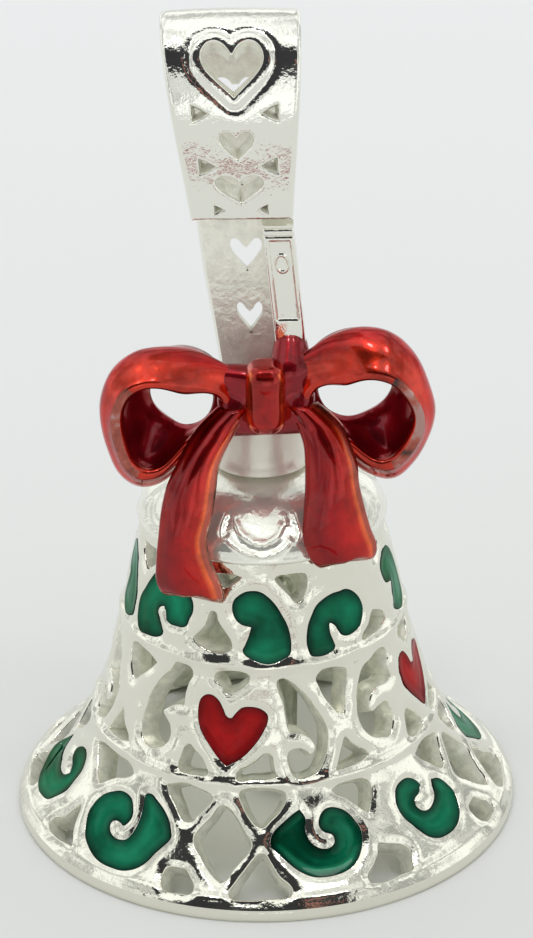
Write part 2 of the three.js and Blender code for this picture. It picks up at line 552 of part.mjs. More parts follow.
// A closed run of cupped sections: crown outside, thin edges, all drawn in towards the loop's centre.
function bowLoop({ centre, backOval, stations }, side) {
  const rings = stations.map(([x, z, frontInset, reach]) => {
    const inward = vector(centre[0] - x, 0, centre[1] - z).normalize();
    const frontY = THREE.MathUtils.lerp(LOOP_FRONT.near, LOOP_FRONT.far, reach);
    const backY = THREE.MathUtils.lerp(LOOP_BACK.near, LOOP_BACK.far, reach);
    const crown = vector(x, (frontY + backY) / 2, z);
    const front = vector(x, frontY, z).addScaledVector(inward, frontInset);
    const across = x - backOval.x;
    const up = z - backOval.z;
    const share = 1 / Math.hypot(across / backOval.halfWidth, up / backOval.halfHeight);
    const back = vector(backOval.x + across * share, backY, backOval.z + up * share);
    const inside = (point, thickness) => point.clone().addScaledVector(inward, thickness);
    return [front, crown, back, inside(back, LOOP_EDGE), inside(crown, RIBBON), inside(front, LOOP_EDGE)];
  });
  return loft(side < 0 ? rings.reverse() : rings, true);
}

function bowTail(stations) {
  const rings = stations.map(([x, y, z, width, degrees]) => {
    const turn = THREE.MathUtils.degToRad(degrees);
    const across = vector(Math.cos(turn), Math.sin(turn), 0).multiplyScalar(width / 2);
    const through = vector(-Math.sin(turn), Math.cos(turn), 0).multiplyScalar(RIBBON / 2);
    const centre = vector(x, y, z);
    return [[-1, -1], [1, -1], [1, 1], [-1, 1]].map(([a, b]) => (
      centre.clone().addScaledVector(across, a).addScaledVector(through, b)
    ));
  });
  return loft(rings, false);
}

const knotBack = SADDLE.front - PIECE_GAP;
addPiece('bow_left_loop', bowLoop(LEFT_LOOP, -1), redEnamel());
addPiece('bow_right_loop', bowLoop(RIGHT_LOOP, 1), redEnamel());
addPiece('bow_knot', roundedBlock({ ...KNOT, back: knotBack }), redEnamel());
addPiece('bow_left_tail', bowTail(LEFT_TAIL), redEnamel());
addPiece('bow_right_tail', bowTail(RIGHT_TAIL), redEnamel());

// ---- Bail ---------------------------------------------------------------------------------------

const bailCentre = (z) => STRAP_LEAN * (z - STRAP_LEAN_FROM);

function strapRings() {
  return STRAP_PATH.map(([y, z, width], i) => {
    const before = STRAP_PATH[Math.max(i - 1, 0)];
    const after = STRAP_PATH[Math.min(i + 1, STRAP_PATH.length - 1)];
    const along = new THREE.Vector2(after[0] - before[0], after[1] - before[1]).normalize();
    const inward = new THREE.Vector2(along.y, -along.x).multiplyScalar(STRAP_THICKNESS);
    const x = bailCentre(z);
    const inner = vector(0, inward.x, inward.y);
    const outerLeft = vector(x - width / 2, y, z);
    const outerRight = vector(x + width / 2, y, z);
    return [outerRight, outerLeft, outerLeft.clone().add(inner), outerRight.clone().add(inner)];
  });
}

// A heart laid out in the strap's plane, as a block along Y through its front or back.
function heartCutter(z, width, height, side) {
  const shape = new THREE.Shape();
  const half = width / 2;
  shape.moveTo(0, -height / 2);
  shape.bezierCurveTo(half * 0.5, -height * 0.2, half, 0, half, height * 0.22);
  shape.bezierCurveTo(half, height * 0.55, half * 0.25, height * 0.6, 0, height * 0.25);
  shape.bezierCurveTo(-half * 0.25, height * 0.6, -half, height * 0.55, -half, height * 0.22);
  shape.bezierCurveTo(-half, 0, -half * 0.5, -height * 0.2, 0, -height / 2);
  return new THREE.ExtrudeGeometry(shape, { depth: STRAP_CUT, bevelEnabled: false, curveSegments: 3 })
    .rotateX(Math.PI / 2)
    .translate(bailCentre(z), side > 0 ? STRAP_CUT + STRAP_CUT_START : -STRAP_CUT_START, z);
}

function notchCutter(z, offset, size) {
  const side = Math.sign(offset);
  const shape = new THREE.Shape();
  shape.moveTo(-side * size * 0.45, 0);
  shape.lineTo(side * size * 0.4, size * 0.45);
  shape.lineTo(side * size * 0.4, -size * 0.45);
  return new THREE.ExtrudeGeometry(shape, { depth: STRAP_CUT, bevelEnabled: false })
    .rotateX(Math.PI / 2)
    .translate(bailCentre(z) + offset, -STRAP_CUT_START, z);
}

let strap = toSolid(loft(strapRings(), false));
STRAP_HEARTS.forEach(([z, width, height, side]) => {
  strap = strap.subtract(toSolid(heartCutter(z, width, height, side)));
});
STRAP_NOTCHES.forEach(([z, offset, size]) => {
  strap = strap.subtract(toSolid(notchCutter(z, offset, size)));
  strap = strap.subtract(toSolid(notchCutter(z, -offset, size)));
});
addPiece('bail_strap', toGeometry(strap), silver());

const strapEnd = STRAP_PATH[0];
const tongueRight = bailCentre(strapEnd[1]) + strapEnd[2] / 2;
const tongueRings = [
  { x: SADDLE.right - TONGUE.width - 0.1, y: SADDLE.front + 0.1, z: TONGUE.bottom },
  { x: tongueRight - TONGUE.width, y: strapEnd[0] + 0.15, z: strapEnd[1] - PIECE_GAP - 0.1 },
].map(({ x, y, z }) => [
  vector(x + TONGUE.width, y, z), vector(x, y, z),
  vector(x, y + TONGUE.thickness, z), vector(x + TONGUE.width, y + TONGUE.thickness, z),
]);
addPiece('bail_tongue', loft(tongueRings, false), silver());

const saddle = new THREE.BoxGeometry(
  SADDLE.right - SADDLE.left, SADDLE.back - SADDLE.front, SADDLE.top - SADDLE.bottom,
).translate(
  (SADDLE.left + SADDLE.right) / 2, (SADDLE.front + SADDLE.back) / 2, (SADDLE.bottom + SADDLE.top) / 2,
);
addPiece('bow_saddle', saddle, redEnamel());

// ---- Clapper, hung from a staple under the cap by one link ----------------------------------------

class Staple extends THREE.Curve {
  // Down one leg, round the bottom and up the other.
  getPoint(t, target = new THREE.Vector3()) {
    const share = 0.25;
    if (t < share) {
      return target.set(-STAPLE_HALF_WIDTH, 0, STAPLE_LEG * (1 - t / share));
    }
    if (t > 1 - share) {
      return target.set(STAPLE_HALF_WIDTH, 0, STAPLE_LEG * (1 - (1 - t) / share));
    }
    const turn = (Math.PI * (t - share)) / (1 - 2 * share);
    return target.set(-STAPLE_HALF_WIDTH * Math.cos(turn), 0, -STAPLE_HALF_WIDTH * Math.sin(turn));
  }
}

const wire = new THREE.Shape().absarc(0, 0, WIRE_RADIUS, 0, 2 * Math.PI, false);
const staple = new THREE.ExtrudeGeometry(wire, { steps: 18, extrudePath: new Staple(), curveSegments: 4 })
  .translate(STAPLE_X, 0, STAPLE_PIVOT_Z + STAPLE_HALF_WIDTH);
addPiece('clapper_staple', staple, silver());

const drop = (radius) => radius - 2 * WIRE_RADIUS - LINK_PLAY;
const linkCentre = STAPLE_PIVOT_Z - drop(LINK_RADIUS);
const clapperPivot = linkCentre - LINK_RADIUS;
const eyeCentre = clapperPivot - drop(EYE_RADIUS);
const ring = (radius) => new THREE.TorusGeometry(radius, WIRE_RADIUS, 8, 24);
const link = ring(LINK_RADIUS).rotateY(Math.PI / 2).translate(STAPLE_X, 0, linkCentre);
addPiece('clapper_link', link, silver());

const rodProfile = [
  [0, CLAPPER_BOTTOM], [CLAPPER_RADIUS - CLAPPER_CHAMFER, CLAPPER_BOTTOM],
  [CLAPPER_RADIUS, CLAPPER_BOTTOM + CLAPPER_CHAMFER], [CLAPPER_RADIUS, CLAPPER_SHOULDER - CLAPPER_CHAMFER],
  [CLAPPER_RADIUS - 2 * CLAPPER_CHAMFER, CLAPPER_SHOULDER], [0, CLAPPER_SHOULDER + WIRE_RADIUS / 3],
];
const rod = toSolid(turned(rodProfile, ROD_SEGMENTS).translate(STAPLE_X, 0, 0));
const eye = toSolid(ring(EYE_RADIUS).rotateX(Math.PI / 2).translate(STAPLE_X, 0, eyeCentre));
addPiece('clapper', toGeometry(rod.add(eye)), silver());

export default bell;
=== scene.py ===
# Looks for the openwork bell ornament. Metres, +Z up, the front faces -Y.
# Sizes here are in millimetres, and MM turns them into metres.

import math

import bpy
import numpy as np
from mathutils import Matrix, Vector, kdtree
from mathutils.geometry import delaunay_2d_cdt


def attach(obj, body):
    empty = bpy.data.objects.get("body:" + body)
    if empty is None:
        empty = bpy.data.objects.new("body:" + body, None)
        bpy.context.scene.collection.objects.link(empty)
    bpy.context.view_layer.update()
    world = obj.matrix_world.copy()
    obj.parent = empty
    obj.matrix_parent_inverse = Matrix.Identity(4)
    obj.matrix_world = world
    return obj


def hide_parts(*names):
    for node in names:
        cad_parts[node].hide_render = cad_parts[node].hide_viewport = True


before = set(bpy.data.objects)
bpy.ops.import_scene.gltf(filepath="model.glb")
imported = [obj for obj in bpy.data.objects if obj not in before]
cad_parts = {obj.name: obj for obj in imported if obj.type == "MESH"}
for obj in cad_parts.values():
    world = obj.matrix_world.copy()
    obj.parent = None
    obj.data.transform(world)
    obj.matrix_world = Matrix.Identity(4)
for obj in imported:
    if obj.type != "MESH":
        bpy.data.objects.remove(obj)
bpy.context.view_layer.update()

MM = 0.001

# ---- Driving sizes, in millimetres --------------------------------------------------------------

WALL = 1.2                # thickness of the cast wall
CELL_DEPTH = 0.62
OUTLINE_STEP = 0.12       # spacing of points along an outline
OUTER_STEP = 0.13         # spacing of points on the wall's outside
INNER_STEP = 0.32
DRAFT = 0.24              # how much a window narrows from the outside to the inside
STRAP = 1.1               # thickness of the bail's strap

# Outside of the wall from the foot up: [radius, height]
PROFILE = [(12.36, 0.3), (12.38, 0.5), (12.15, 0.8), (11.1, 1.75), (9.62, 3.45), (8.55, 5.3), (7.8, 7.5),
           (6.98, 10.7), (6.35, 13.6), (5.9, 15.7)]

# ---- Pattern of the openwork: outlines as [degrees round the axis, height] ------------------------

QUARTER_WINDOWS = {
    "above_heart": [
        (-7, 10.05), (-5.5, 10.45), (-1, 10.6), (6, 10.55), (8.5, 10.35), (7.5, 10), (4.5, 9.65),
        (0.5, 9.4), (-2, 9.4), (-4, 9.75),
    ],
    "left_drop": [
        (-24.5, 10.4), (-20.5, 10.5), (-16.5, 10.4), (-15, 10.05), (-16.5, 9.6), (-17.5, 9),
        (-17.5, 8.45), (-21.5, 8.35), (-26.5, 7.9), (-22.5, 7.4), (-21.5, 6.95), (-22, 6.6),
        (-24, 6.25), (-27, 6), (-30, 5.95), (-33, 6.1), (-35.5, 6.4), (-36.5, 6.95), (-36, 7.6),
        (-35, 8.3), (-32.5, 9), (-29.5, 9.55), (-26.5, 9.95),
    ],
    "left_of_tip": [
        (-15.5, 6.7), (-13.5, 6.8), (-11.5, 6.6), (-8.5, 6.3), (-6.5, 5.9), (-5.5, 5.6),
        (-6.5, 5.45), (-10, 5.4), (-15.5, 5.4), (-17.5, 5.6), (-17, 6.1),
    ],
    "right_drop": [
        (18, 10.1), (20.5, 10.25), (23.5, 10.1), (26.5, 9.75), (29, 9.4), (31.5, 9), (33.5, 8.5),
        (35.5, 8), (36.5, 7.6), (36.5, 7.1), (35.5, 6.5), (34, 6.1), (31, 5.6), (28, 5.45),
        (24.5, 5.4), (22, 5.6), (21, 5.95), (20.5, 6.35), (21, 6.7), (23, 6.85), (26, 6.85),
        (28, 6.7), (29, 6.5), (30.5, 6.7), (29.5, 7.1), (27, 7.4), (23.5, 7.55), (22, 7.6),
        (21, 7.95), (20.5, 8.4), (20, 8.95), (18.5, 9.5),
    ],
    "right_of_tip": [
        (3, 5.6), (4.5, 6), (7.5, 6.2), (10.5, 6.5), (13.5, 6.75), (16, 6.6), (16.5, 6.2),
        (17, 5.85), (18, 5.6), (15.5, 5.5), (9, 5.45), (4, 5.4),
    ],
    "shield": [
        (33.5, 10), (36, 10.35), (40.5, 10.4), (44.5, 10.3), (47.5, 10.1), (48, 9.75), (47, 9.3),
        (45.5, 8.8), (45, 8.3), (43.5, 8), (41.5, 8.05), (38.5, 8.5), (36, 9), (34.5, 9.5),
    ],
    "wedge": [
        (36.5, 5.5), (38.5, 6), (40.5, 6.6), (42, 7), (43, 6.95), (45, 6.6), (47.5, 6.3),
        (50.5, 5.95), (51, 5.75), (48, 5.6), (42, 5.5),
    ],
    "diamond": [
        (-1, 4.35), (1.5, 4.35), (4.5, 4), (7.5, 3.4), (9.5, 2.95), (9, 2.65), (7, 2.3), (5, 1.95),
        (3.5, 1.6), (2, 1.5), (0.5, 1.6), (-2, 1.9), (-4.5, 2.3), (-7, 2.7), (-7.5, 3), (-6, 3.4),
        (-3.5, 3.85),
    ],
    "left_quad": [
        (-20, 4.75), (-17.5, 4.9), (-13.5, 5.05), (-8.5, 4.95), (-4.5, 4.8), (-3, 4.6), (-4.5, 4.2),
        (-7, 3.8), (-8.5, 3.5), (-11.5, 3.45), (-13, 3.6), (-15.5, 4), (-18.5, 4.4),
    ],
    "right_quad": [
        (4.5, 4.9), (6, 5.1), (11.5, 5.2), (17.5, 5.1), (20, 4.9), (19.5, 4.5), (17.5, 4.1),
        (15, 3.8), (12.5, 3.5), (10.5, 3.55), (8, 3.9), (6, 4.35),
    ],
    "left_foot": [
        (-12.5, 1.75), (-9.5, 1.85), (-7.5, 1.85), (-5.5, 1.6), (-4, 1.3), (-4.5, 1), (-7, 0.95),
        (-11, 0.95), (-12.5, 1.15), (-13, 1.4),
    ],
    "right_foot": [
        (4, 1.2), (5.5, 1.6), (7.5, 2), (9.5, 2.4), (11, 2.6), (13, 2.6), (14, 2.4), (16.5, 1.8),
        (19.5, 1.35), (19, 1.1), (13.5, 1), (8.5, 0.95), (5, 1),
    ],
    "between_top": [
        (34, 4.75), (36.5, 4.95), (41.5, 5), (46.5, 4.9), (48.5, 4.55), (47.5, 4.1), (46, 3.7),
        (44.5, 3.45), (43, 3.6), (41, 3.9), (38.5, 4.25), (35.5, 4.5),
    ],
    "between_foot": [
        (38, 1.1), (38, 1.4), (40.5, 1.7), (42.5, 2), (44, 2.35), (46.5, 2.25), (49.5, 2.1),
        (51.5, 1.9), (52, 1.65), (51, 1.35), (50, 1.1), (46, 1.05), (41, 1),
    ],
}
HEART_CELL = [
    (1, 8.3), (2.5, 8.55), (5, 8.85), (8.5, 8.9), (12, 8.8), (14.5, 8.5), (14.5, 8.15), (13, 7.75),
    (10.5, 7.2), (6.5, 6.6), (2.5, 6.2), (0, 6), (-2.5, 6.3), (-6.5, 6.9), (-9.5, 7.4),
    (-11.5, 7.95), (-12, 8.5), (-11.5, 8.95), (-9.5, 9.25), (-6.5, 9.3), (-4, 9.1), (-2, 8.7),
    (-0.5, 8.35),
]
RIGHT_SCROLL = [
    (23.5, 4.2), (21.5, 4.05), (18.5, 3.75), (15.5, 3.4), (14.5, 3.15), (14.5, 2.85), (16.5, 2.55),
    (19, 2.2), (22, 1.85), (25, 1.65), (28.5, 1.6), (32.5, 1.65), (35.5, 1.8), (38.5, 2.2),
    (40, 2.6), (40.5, 3), (39.5, 3.4), (38, 3.75), (35.5, 4), (32.5, 4.1), (30.5, 4), (29, 3.75),
    (28.5, 3.45), (29.5, 3.2), (32, 3), (32, 2.75), (30.5, 2.6), (28.5, 2.6), (26.5, 2.75),
    (25, 3.05), (24.5, 3.45), (25, 3.8),
]
LEFT_SCROLL = [
    (-26, 3.9), (-26, 4.05), (-24, 4.15), (-21.5, 4), (-18, 3.7), (-15.5, 3.35), (-14, 3),
    (-13.5, 2.75), (-15, 2.4), (-16.5, 2.1), (-18, 1.7), (-20, 1.4), (-23, 1.2), (-26, 1.15),
    (-29.5, 1.15), (-33, 1.25), (-36.5, 1.45), (-39, 1.65), (-41, 2), (-42.5, 2.45), (-42.5, 2.85),
    (-41, 3.25), (-37.5, 3.6), (-35, 3.75), (-32, 3.75), (-30, 3.65), (-28.5, 3.4), (-27.5, 3.05),
    (-28, 2.75), (-29, 2.6), (-30.5, 2.65), (-32, 2.65), (-33, 2.55), (-32.5, 2.3), (-31, 2.15),
    (-29, 2.1), (-26.5, 2.2), (-25.5, 2.45), (-25, 2.8), (-25, 3.25), (-25.5, 3.65),
]
TIGHT_RIGHT_SCROLL = [
    (14, 3.45), (11, 2.95), (8.5, 2.5), (8, 2.15), (10, 1.9), (14, 1.65), (17.5, 1.45), (22, 1.35),
    (26, 1.4), (30, 1.55), (32, 1.85), (34, 2.35), (34.5, 2.9), (34.5, 3.4), (32.5, 3.8),
    (29.5, 3.95), (25.5, 3.8), (23.5, 3.5), (24.5, 3.2), (28, 3), (29.5, 2.8), (27.5, 2.55),
    (25, 2.5), (21, 2.6), (16.5, 2.8), (15, 3.1),
]
TIGHT_LEFT_SCROLL = [
    (-18.5, 3.5), (-15, 3.3), (-13.5, 2.95), (-13, 2.55), (-14.5, 2.15), (-16, 1.9), (-19, 1.65),
    (-22.5, 1.55), (-25.5, 1.55), (-28, 1.6), (-30.5, 1.8), (-32, 2.1), (-33.5, 2.45), (-35, 2.85),
    (-35.5, 3.3), (-34.5, 3.7), (-33, 4), (-30, 4.15), (-27, 4.1), (-24.5, 3.85), (-23.5, 3.6),
    (-25.5, 3.35), (-28, 3.25), (-29, 3.05), (-28, 2.75), (-26, 2.65), (-23, 2.75), (-20.5, 3),
    (-19.5, 3.25),
]
SCROLL_CELLS = (
    LEFT_SCROLL, RIGHT_SCROLL, TIGHT_LEFT_SCROLL, RIGHT_SCROLL,
    LEFT_SCROLL, RIGHT_SCROLL, LEFT_SCROLL, TIGHT_RIGHT_SCROLL,
)
LEAF_CELLS = {
    "left": [
        (-20.5, 14.45), (-16.5, 14.4), (-12.5, 14.1), (-9.5, 13.7), (-7, 13.2), (-5, 12.7),
        (-4, 12.1), (-4, 11.7), (-4.5, 11.35), (-7.5, 11.1), (-10.5, 10.95), (-14, 10.9),
        (-17.5, 11), (-20.5, 11.15), (-24, 11.5), (-23, 11.85), (-21.5, 12.3), (-20.5, 12.7),
        (-24.5, 12.8), (-27, 13), (-28.5, 13.3), (-29, 13.7), (-28, 14), (-25.5, 14.25),
        (-23, 14.4),
    ],
    "right": [
        (20.5, 13.85), (16.5, 13.85), (11.5, 13.7), (8.5, 13.5), (6, 13.1), (4, 12.7), (3, 12.3),
        (2.5, 11.8), (3, 11.4), (4, 11.1), (6.5, 11), (10.5, 11), (13.5, 11.1), (15, 11.25),
        (14.5, 11.6), (13.5, 12), (13.5, 12.5), (15.5, 12.35), (17, 12.05), (18.5, 11.75),
        (21.5, 11.6), (25.5, 11.65), (28.5, 11.8), (30.5, 12.1), (32, 12.55), (31.5, 13),
        (29.5, 13.4), (26.5, 13.7), (23.5, 13.85),
    ],
}
CURLED_LEAF = [
    (11.5, 14.45), (6, 13.8), (2.5, 13.15), (-0.5, 12.5), (-0.5, 11.75), (1, 11.25), (3.5, 10.95),
    (9, 11), (16, 11.2), (19, 11.5), (18, 11.85), (16, 12.15), (14.5, 12.45), (15.5, 12.7),
    (17.5, 12.8), (18.5, 12.65), (19.5, 12.3), (21.5, 12.1), (25.5, 12.1), (29, 12.15), (31, 12.3),
    (32, 12.65), (33.5, 13.05), (33, 13.5), (29.5, 14), (25, 14.35), (19, 14.6),
]
PAIR_WINDOWS = {
    "above_rib": [
        (-10.5, 15), (-9, 15.15), (-4, 15.2), (1.5, 15.2), (5, 15.1), (6, 14.85), (5, 14.3),
        (3, 13.85), (0.5, 13.7), (-2, 13.8), (-4, 14.1), (-7, 14.5), (-9.5, 14.8),
    ],
    "shoulder": [
        (-38, 15.15), (-34, 15.2), (-28, 15.2), (-24.5, 15.1), (-25.5, 14.95), (-28.5, 14.7),
        (-31.5, 14.45), (-34, 14.45), (-36.5, 14.8),
    ],
    "between_hooks": [
        (-39, 13.3), (-36, 13.3), (-34.5, 12.9), (-31, 12.4), (-28.5, 12), (-28, 11.6),
        (-29.5, 11.4), (-33.5, 11.3), (-39.5, 11.35), (-44.5, 11.6), (-46.5, 11.85), (-44.5, 12.1),
        (-41.5, 12.5), (-40, 13),
    ],
}
# Windows that differ from the pattern, by quarter or by pair.
OWN_WINDOWS = {
    ("between_top", 3): [
        (34, 4.75), (37.5, 4.95), (43.5, 5), (49, 5), (53, 5), (56, 4.8), (57, 4.6), (55.5, 4.35),
        (51, 4.05), (47.5, 3.7), (45, 3.4), (41.5, 3.7), (37, 4.3),
    ],
    ("shield", 3): [
        (39.5, 10.25), (48.5, 10.35), (55.5, 10.15), (57.5, 10), (53.5, 9.45), (48.5, 8.85),
        (45, 8.55), (42, 8.85), (39.5, 9.35), (38, 9.9),
    ],
    ("left_drop", 1): [
        (-18.5, 10.25), (-16.5, 9.8), (-18, 9.3), (-17, 8.65), (-21, 8.5), (-26.5, 8.55),
        (-30.5, 8.3), (-32, 7.8), (-31.5, 7.65), (-28, 7.8), (-24, 7.8), (-22, 7.35), (-21.5, 6.8),
        (-23, 6.45), (-26, 6.1), (-30, 6.2), (-34, 6.45), (-37, 6.9), (-38.5, 7.5), (-38.5, 8.1),
        (-37.5, 8.75), (-35.5, 9.35), (-32.5, 9.9), (-27.5, 10.1), (-23.5, 10.3),
    ],
}
NARROW_BETWEEN_FOOT = [
    (43, 2.5), (41.5, 2.15), (40, 1.7), (37.5, 1.4), (37, 1.15), (40, 1), (44.5, 1), (47.5, 1.05),
    (50, 1.1), (49, 1.3), (47, 1.55), (45.5, 1.85), (44.5, 2.25),
]
for narrow_quarter in (1, 2, 3):
    OWN_WINDOWS["between_foot", narrow_quarter] = NARROW_BETWEEN_FOOT
OWN_PAIR_WINDOWS = {
    ("between_hooks", 1): [
        (-38.5, 12.2), (-32.5, 11.75), (-31.5, 11.4), (-36.5, 11.1), (-44, 11.05), (-49.5, 11.05),
        (-50, 11.2), (-45, 11.7), (-41, 12.25),
    ],
    ("above_rib", 3): [
        (-8, 15.15), (0, 15.2), (7.5, 15.2), (10.5, 15.05), (11, 14.85), (7, 14.4), (1, 13.85),
        (-3, 14.25), (-7, 14.65),
    ],
}
HEART_ANGLES = (-13.5, 74, 165, 256)
SKIRT_ANGLES = (-13.5, 76, 166.5, 256.5)
PAIR_ANGLES = (15.2, 93.5, 196, 295)
WIDE_GAP_PAIRS = (1, 2)   # leaf pairs with a wider gap after them
# Windows that stand with the hearts. The others stand with the skirt's scrolls.
HEART_TIER = ("above_heart", "left_drop", "left_of_tip", "right_drop", "right_of_tip", "shield", "wedge")
WIDE_GAP_TURN = 3         # degrees the hooks' mirrored window is turned on


def mirrored(outline):
    return [(-a, h) for a, h in reversed(outline)]


def all_windows():
    for quarter, skirt_angle in enumerate(SKIRT_ANGLES):
        for name, outline in QUARTER_WINDOWS.items():
            own = OWN_WINDOWS.get((name, quarter), outline)
            yield own, HEART_ANGLES[quarter] if name in HEART_TIER else skirt_angle
    for pair, angle in enumerate(PAIR_ANGLES):
        for name, outline in PAIR_WINDOWS.items():
            yield OWN_PAIR_WINDOWS.get((name, pair), outline), angle
        if pair in WIDE_GAP_PAIRS:
            yield mirrored(PAIR_WINDOWS["shoulder"]), angle
            yield mirrored(PAIR_WINDOWS["between_hooks"]), angle + WIDE_GAP_TURN


def all_cells():
    for i, angle in enumerate(HEART_ANGLES):
        yield f"heart_enamel_{i + 1}", HEART_CELL, angle
    for i, outline in enumerate(SCROLL_CELLS):
        yield f"skirt_enamel_{i + 1}", outline, SKIRT_ANGLES[i // 2]
    for i, angle in enumerate(PAIR_ANGLES):
        yield f"upper_enamel_{2 * i + 1}", LEAF_CELLS["left"], angle
        yield f"upper_enamel_{2 * i + 2}", CURLED_LEAF if i == 3 else LEAF_CELLS["right"], angle


# ---- Curves -------------------------------------------------------------------------------------


def smooth_curve(points, closed, corner=0.25, fine=14):
    """A smooth curve through the points, with a corner wherever it turns by more than about 75
    degrees."""
    p = np.asarray(points, float)
    n = len(p)
    last = n if closed else n - 1
    seg = np.array([p[(i + 1) % n] - p[i] for i in range(last)])
    length = np.linalg.norm(seg, axis=1)
    way = seg / length[:, None]
    t = np.linspace(0, 1, fine, endpoint=False)[:, None]
    h = (2 * t**3 - 3 * t**2 + 1, t**3 - 2 * t**2 + t, -2 * t**3 + 3 * t**2, t**3 - t**2)

    def tangent(i, own):
        if not closed and i in (0, n - 1):
            return way[own]
        a, b = way[(i - 1) % last], way[i % last]
        if a @ b < corner:
            return way[own]
        return (a + b) / np.linalg.norm(a + b)

    out = []
    for i in range(last):
        a, b = p[i], p[(i + 1) % n]
        ta = tangent(i, i) * length[i]
        tb = tangent((i + 1) % n if closed else i + 1, i) * length[i]
        out.append(h[0] * a + h[1] * ta + h[2] * b + h[3] * tb)
    if not closed:
        out.append(p[-1:])
    return np.concatenate(out)


def respaced(curve, step, closed):
    """The same curve with its points at equal distances."""
    line = np.concatenate([curve, curve[:1]]) if closed else curve
    far = np.concatenate([[0], np.cumsum(np.linalg.norm(np.diff(line, axis=0), axis=1))])
    count = max(8, int(round(far[-1] / step)))
    at = np.linspace(0, far[-1], count, endpoint=not closed)
    return np.stack([np.interp(at, far, line[:, k]) for k in range(line.shape[1])], 1)


def normals_2d(loop):
    """Unit normals to the left of a closed loop's direction."""
    along = np.roll(loop, -1, 0) - np.roll(loop, 1, 0)
    along /= np.linalg.norm(along, axis=1)[:, None]
    return np.stack([-along[:, 1], along[:, 0]], 1)


def area_2d(loop):
    """Area inside a closed loop, positive when it runs anticlockwise."""
    x, y = loop[:, 0], loop[:, 1]
    return 0.5 * np.sum(x * np.roll(y, -1) - np.roll(x, -1) * y)


def room_inside(loop, normal):
    """Distance from each point of a closed loop, along its normal, to the loop's other side."""
    a = loop
    b = np.roll(loop, -1, 0)
    edge = b - a
    out = np.full(len(loop), 9.0)
    for i, (p, n) in enumerate(zip(loop, normal)):
        cross = n[0] * edge[:, 1] - n[1] * edge[:, 0]
        cross = np.where(np.abs(cross) < 1e-9, 1e-9, cross)
        w = a - p
        t = (w[:, 0] * edge[:, 1] - w[:, 1] * edge[:, 0]) / cross
        u = (w[:, 0] * n[1] - w[:, 1] * n[0]) / cross
        hit = (t > 0.02) & (u > -0.01) & (u < 1.01)
        if hit.any():
            out[i] = t[hit].min()
    return out


def evened(values, times=3):
    """Values round a closed loop, each averaged with its neighbours."""
    for _ in range(times):
        values = (np.roll(values, 1, 0) + 2 * values + np.roll(values, -1, 0)) / 4
    return values


def nearest_tree(points):
    """A search tree over points in three dimensions."""
    tree = kdtree.KDTree(len(points))
    for i, p in enumerate(points):
        tree.insert(p, i)
    tree.balance()
    return tree


def distances(tree, points):
    return np.array([tree.find(p)[2] for p in points])


def lifted(points):
    """Plane points as points in three dimensions, at height nil."""
    return np.column_stack([points, np.zeros(len(points))])


def inside(points, loop):
    """True for each point that lies inside the closed loop."""
    out = np.zeros(len(points), bool)
    lo, hi = loop.min(0), loop.max(0)
    near = np.where(((points > lo) & (points < hi)).all(1))[0]
    if not len(near):
        return out
    p = points[near]
    a, b = loop, np.roll(loop, -1, 0)
    rises = (a[None, :, 1] > p[:, 1:2]) != (b[None, :, 1] > p[:, 1:2])
    slope = (b[:, 0] - a[:, 0]) / np.where(b[:, 1] == a[:, 1], 1e-12, b[:, 1] - a[:, 1])
    cut = a[None, :, 0] + (p[:, 1:2] - a[None, :, 1]) * slope[None]
    out[near] = (rises & (p[:, 0:1] < cut)).sum(1) % 2 == 1
    return out


# ---- Meshes -------------------------------------------------------------------------------------


class Builder:
    """Collects points (in millimetres), faces with a material number, and one number per point."""

    def __init__(self):
        self.points = []
        self.faces = []
        self.zones = []
        self.values = []
        self.count = 0

    def add(self, points, value=0.0):
        first = self.count
        self.points.append(np.asarray(points, float))
        self.values.append(np.broadcast_to(value, len(points)).astype(float))
        self.count += len(points)
        return np.arange(first, self.count)

    def faces_from(self, faces, zone=0):
        self.faces.extend(faces)
        self.zones.extend([zone] * len(faces))

    def triangles(self, numbers, tri, zone=0, flip=False):
        """Triangles over added points, numbered through the given list."""
        order = -1 if flip else 1
        self.faces_from([tuple(int(numbers[i]) for i in t[::order]) for t in tri], zone)

    def strip(self, a, b, zone=0):
        """Quads between two closed runs of points of the same length."""
        pairs = [(i, (i + 1) % len(a)) for i in range(len(a))]
        self.faces_from([(int(a[i]), int(a[k]), int(b[k]), int(b[i])) for i, k in pairs], zone)

    def build(self, name, materials, sharp=None):
        """The finished object, smooth but for edges sharper than an angle. Point values go in the
        edge attribute."""
        mesh = bpy.data.meshes.new(name)
        mesh.from_pydata((np.concatenate(self.points) * MM).tolist(), [], self.faces)
        mesh.polygons.foreach_set("material_index", np.array(self.zones, np.int32))
        mesh.polygons.foreach_set("use_smooth", np.ones(len(self.faces), bool))
        near = mesh.attributes.new("edge", "FLOAT", "POINT")
        near.data.foreach_set("value", np.concatenate(self.values))
        for m in materials:
            mesh.materials.append(m)
        mesh.validate()
        mesh.update()
        if sharp is not None:
            mesh.set_sharp_from_angle(angle=math.radians(sharp))
        obj = bpy.data.objects.new(name, mesh)
        bpy.context.scene.collection.objects.link(obj)
        return obj


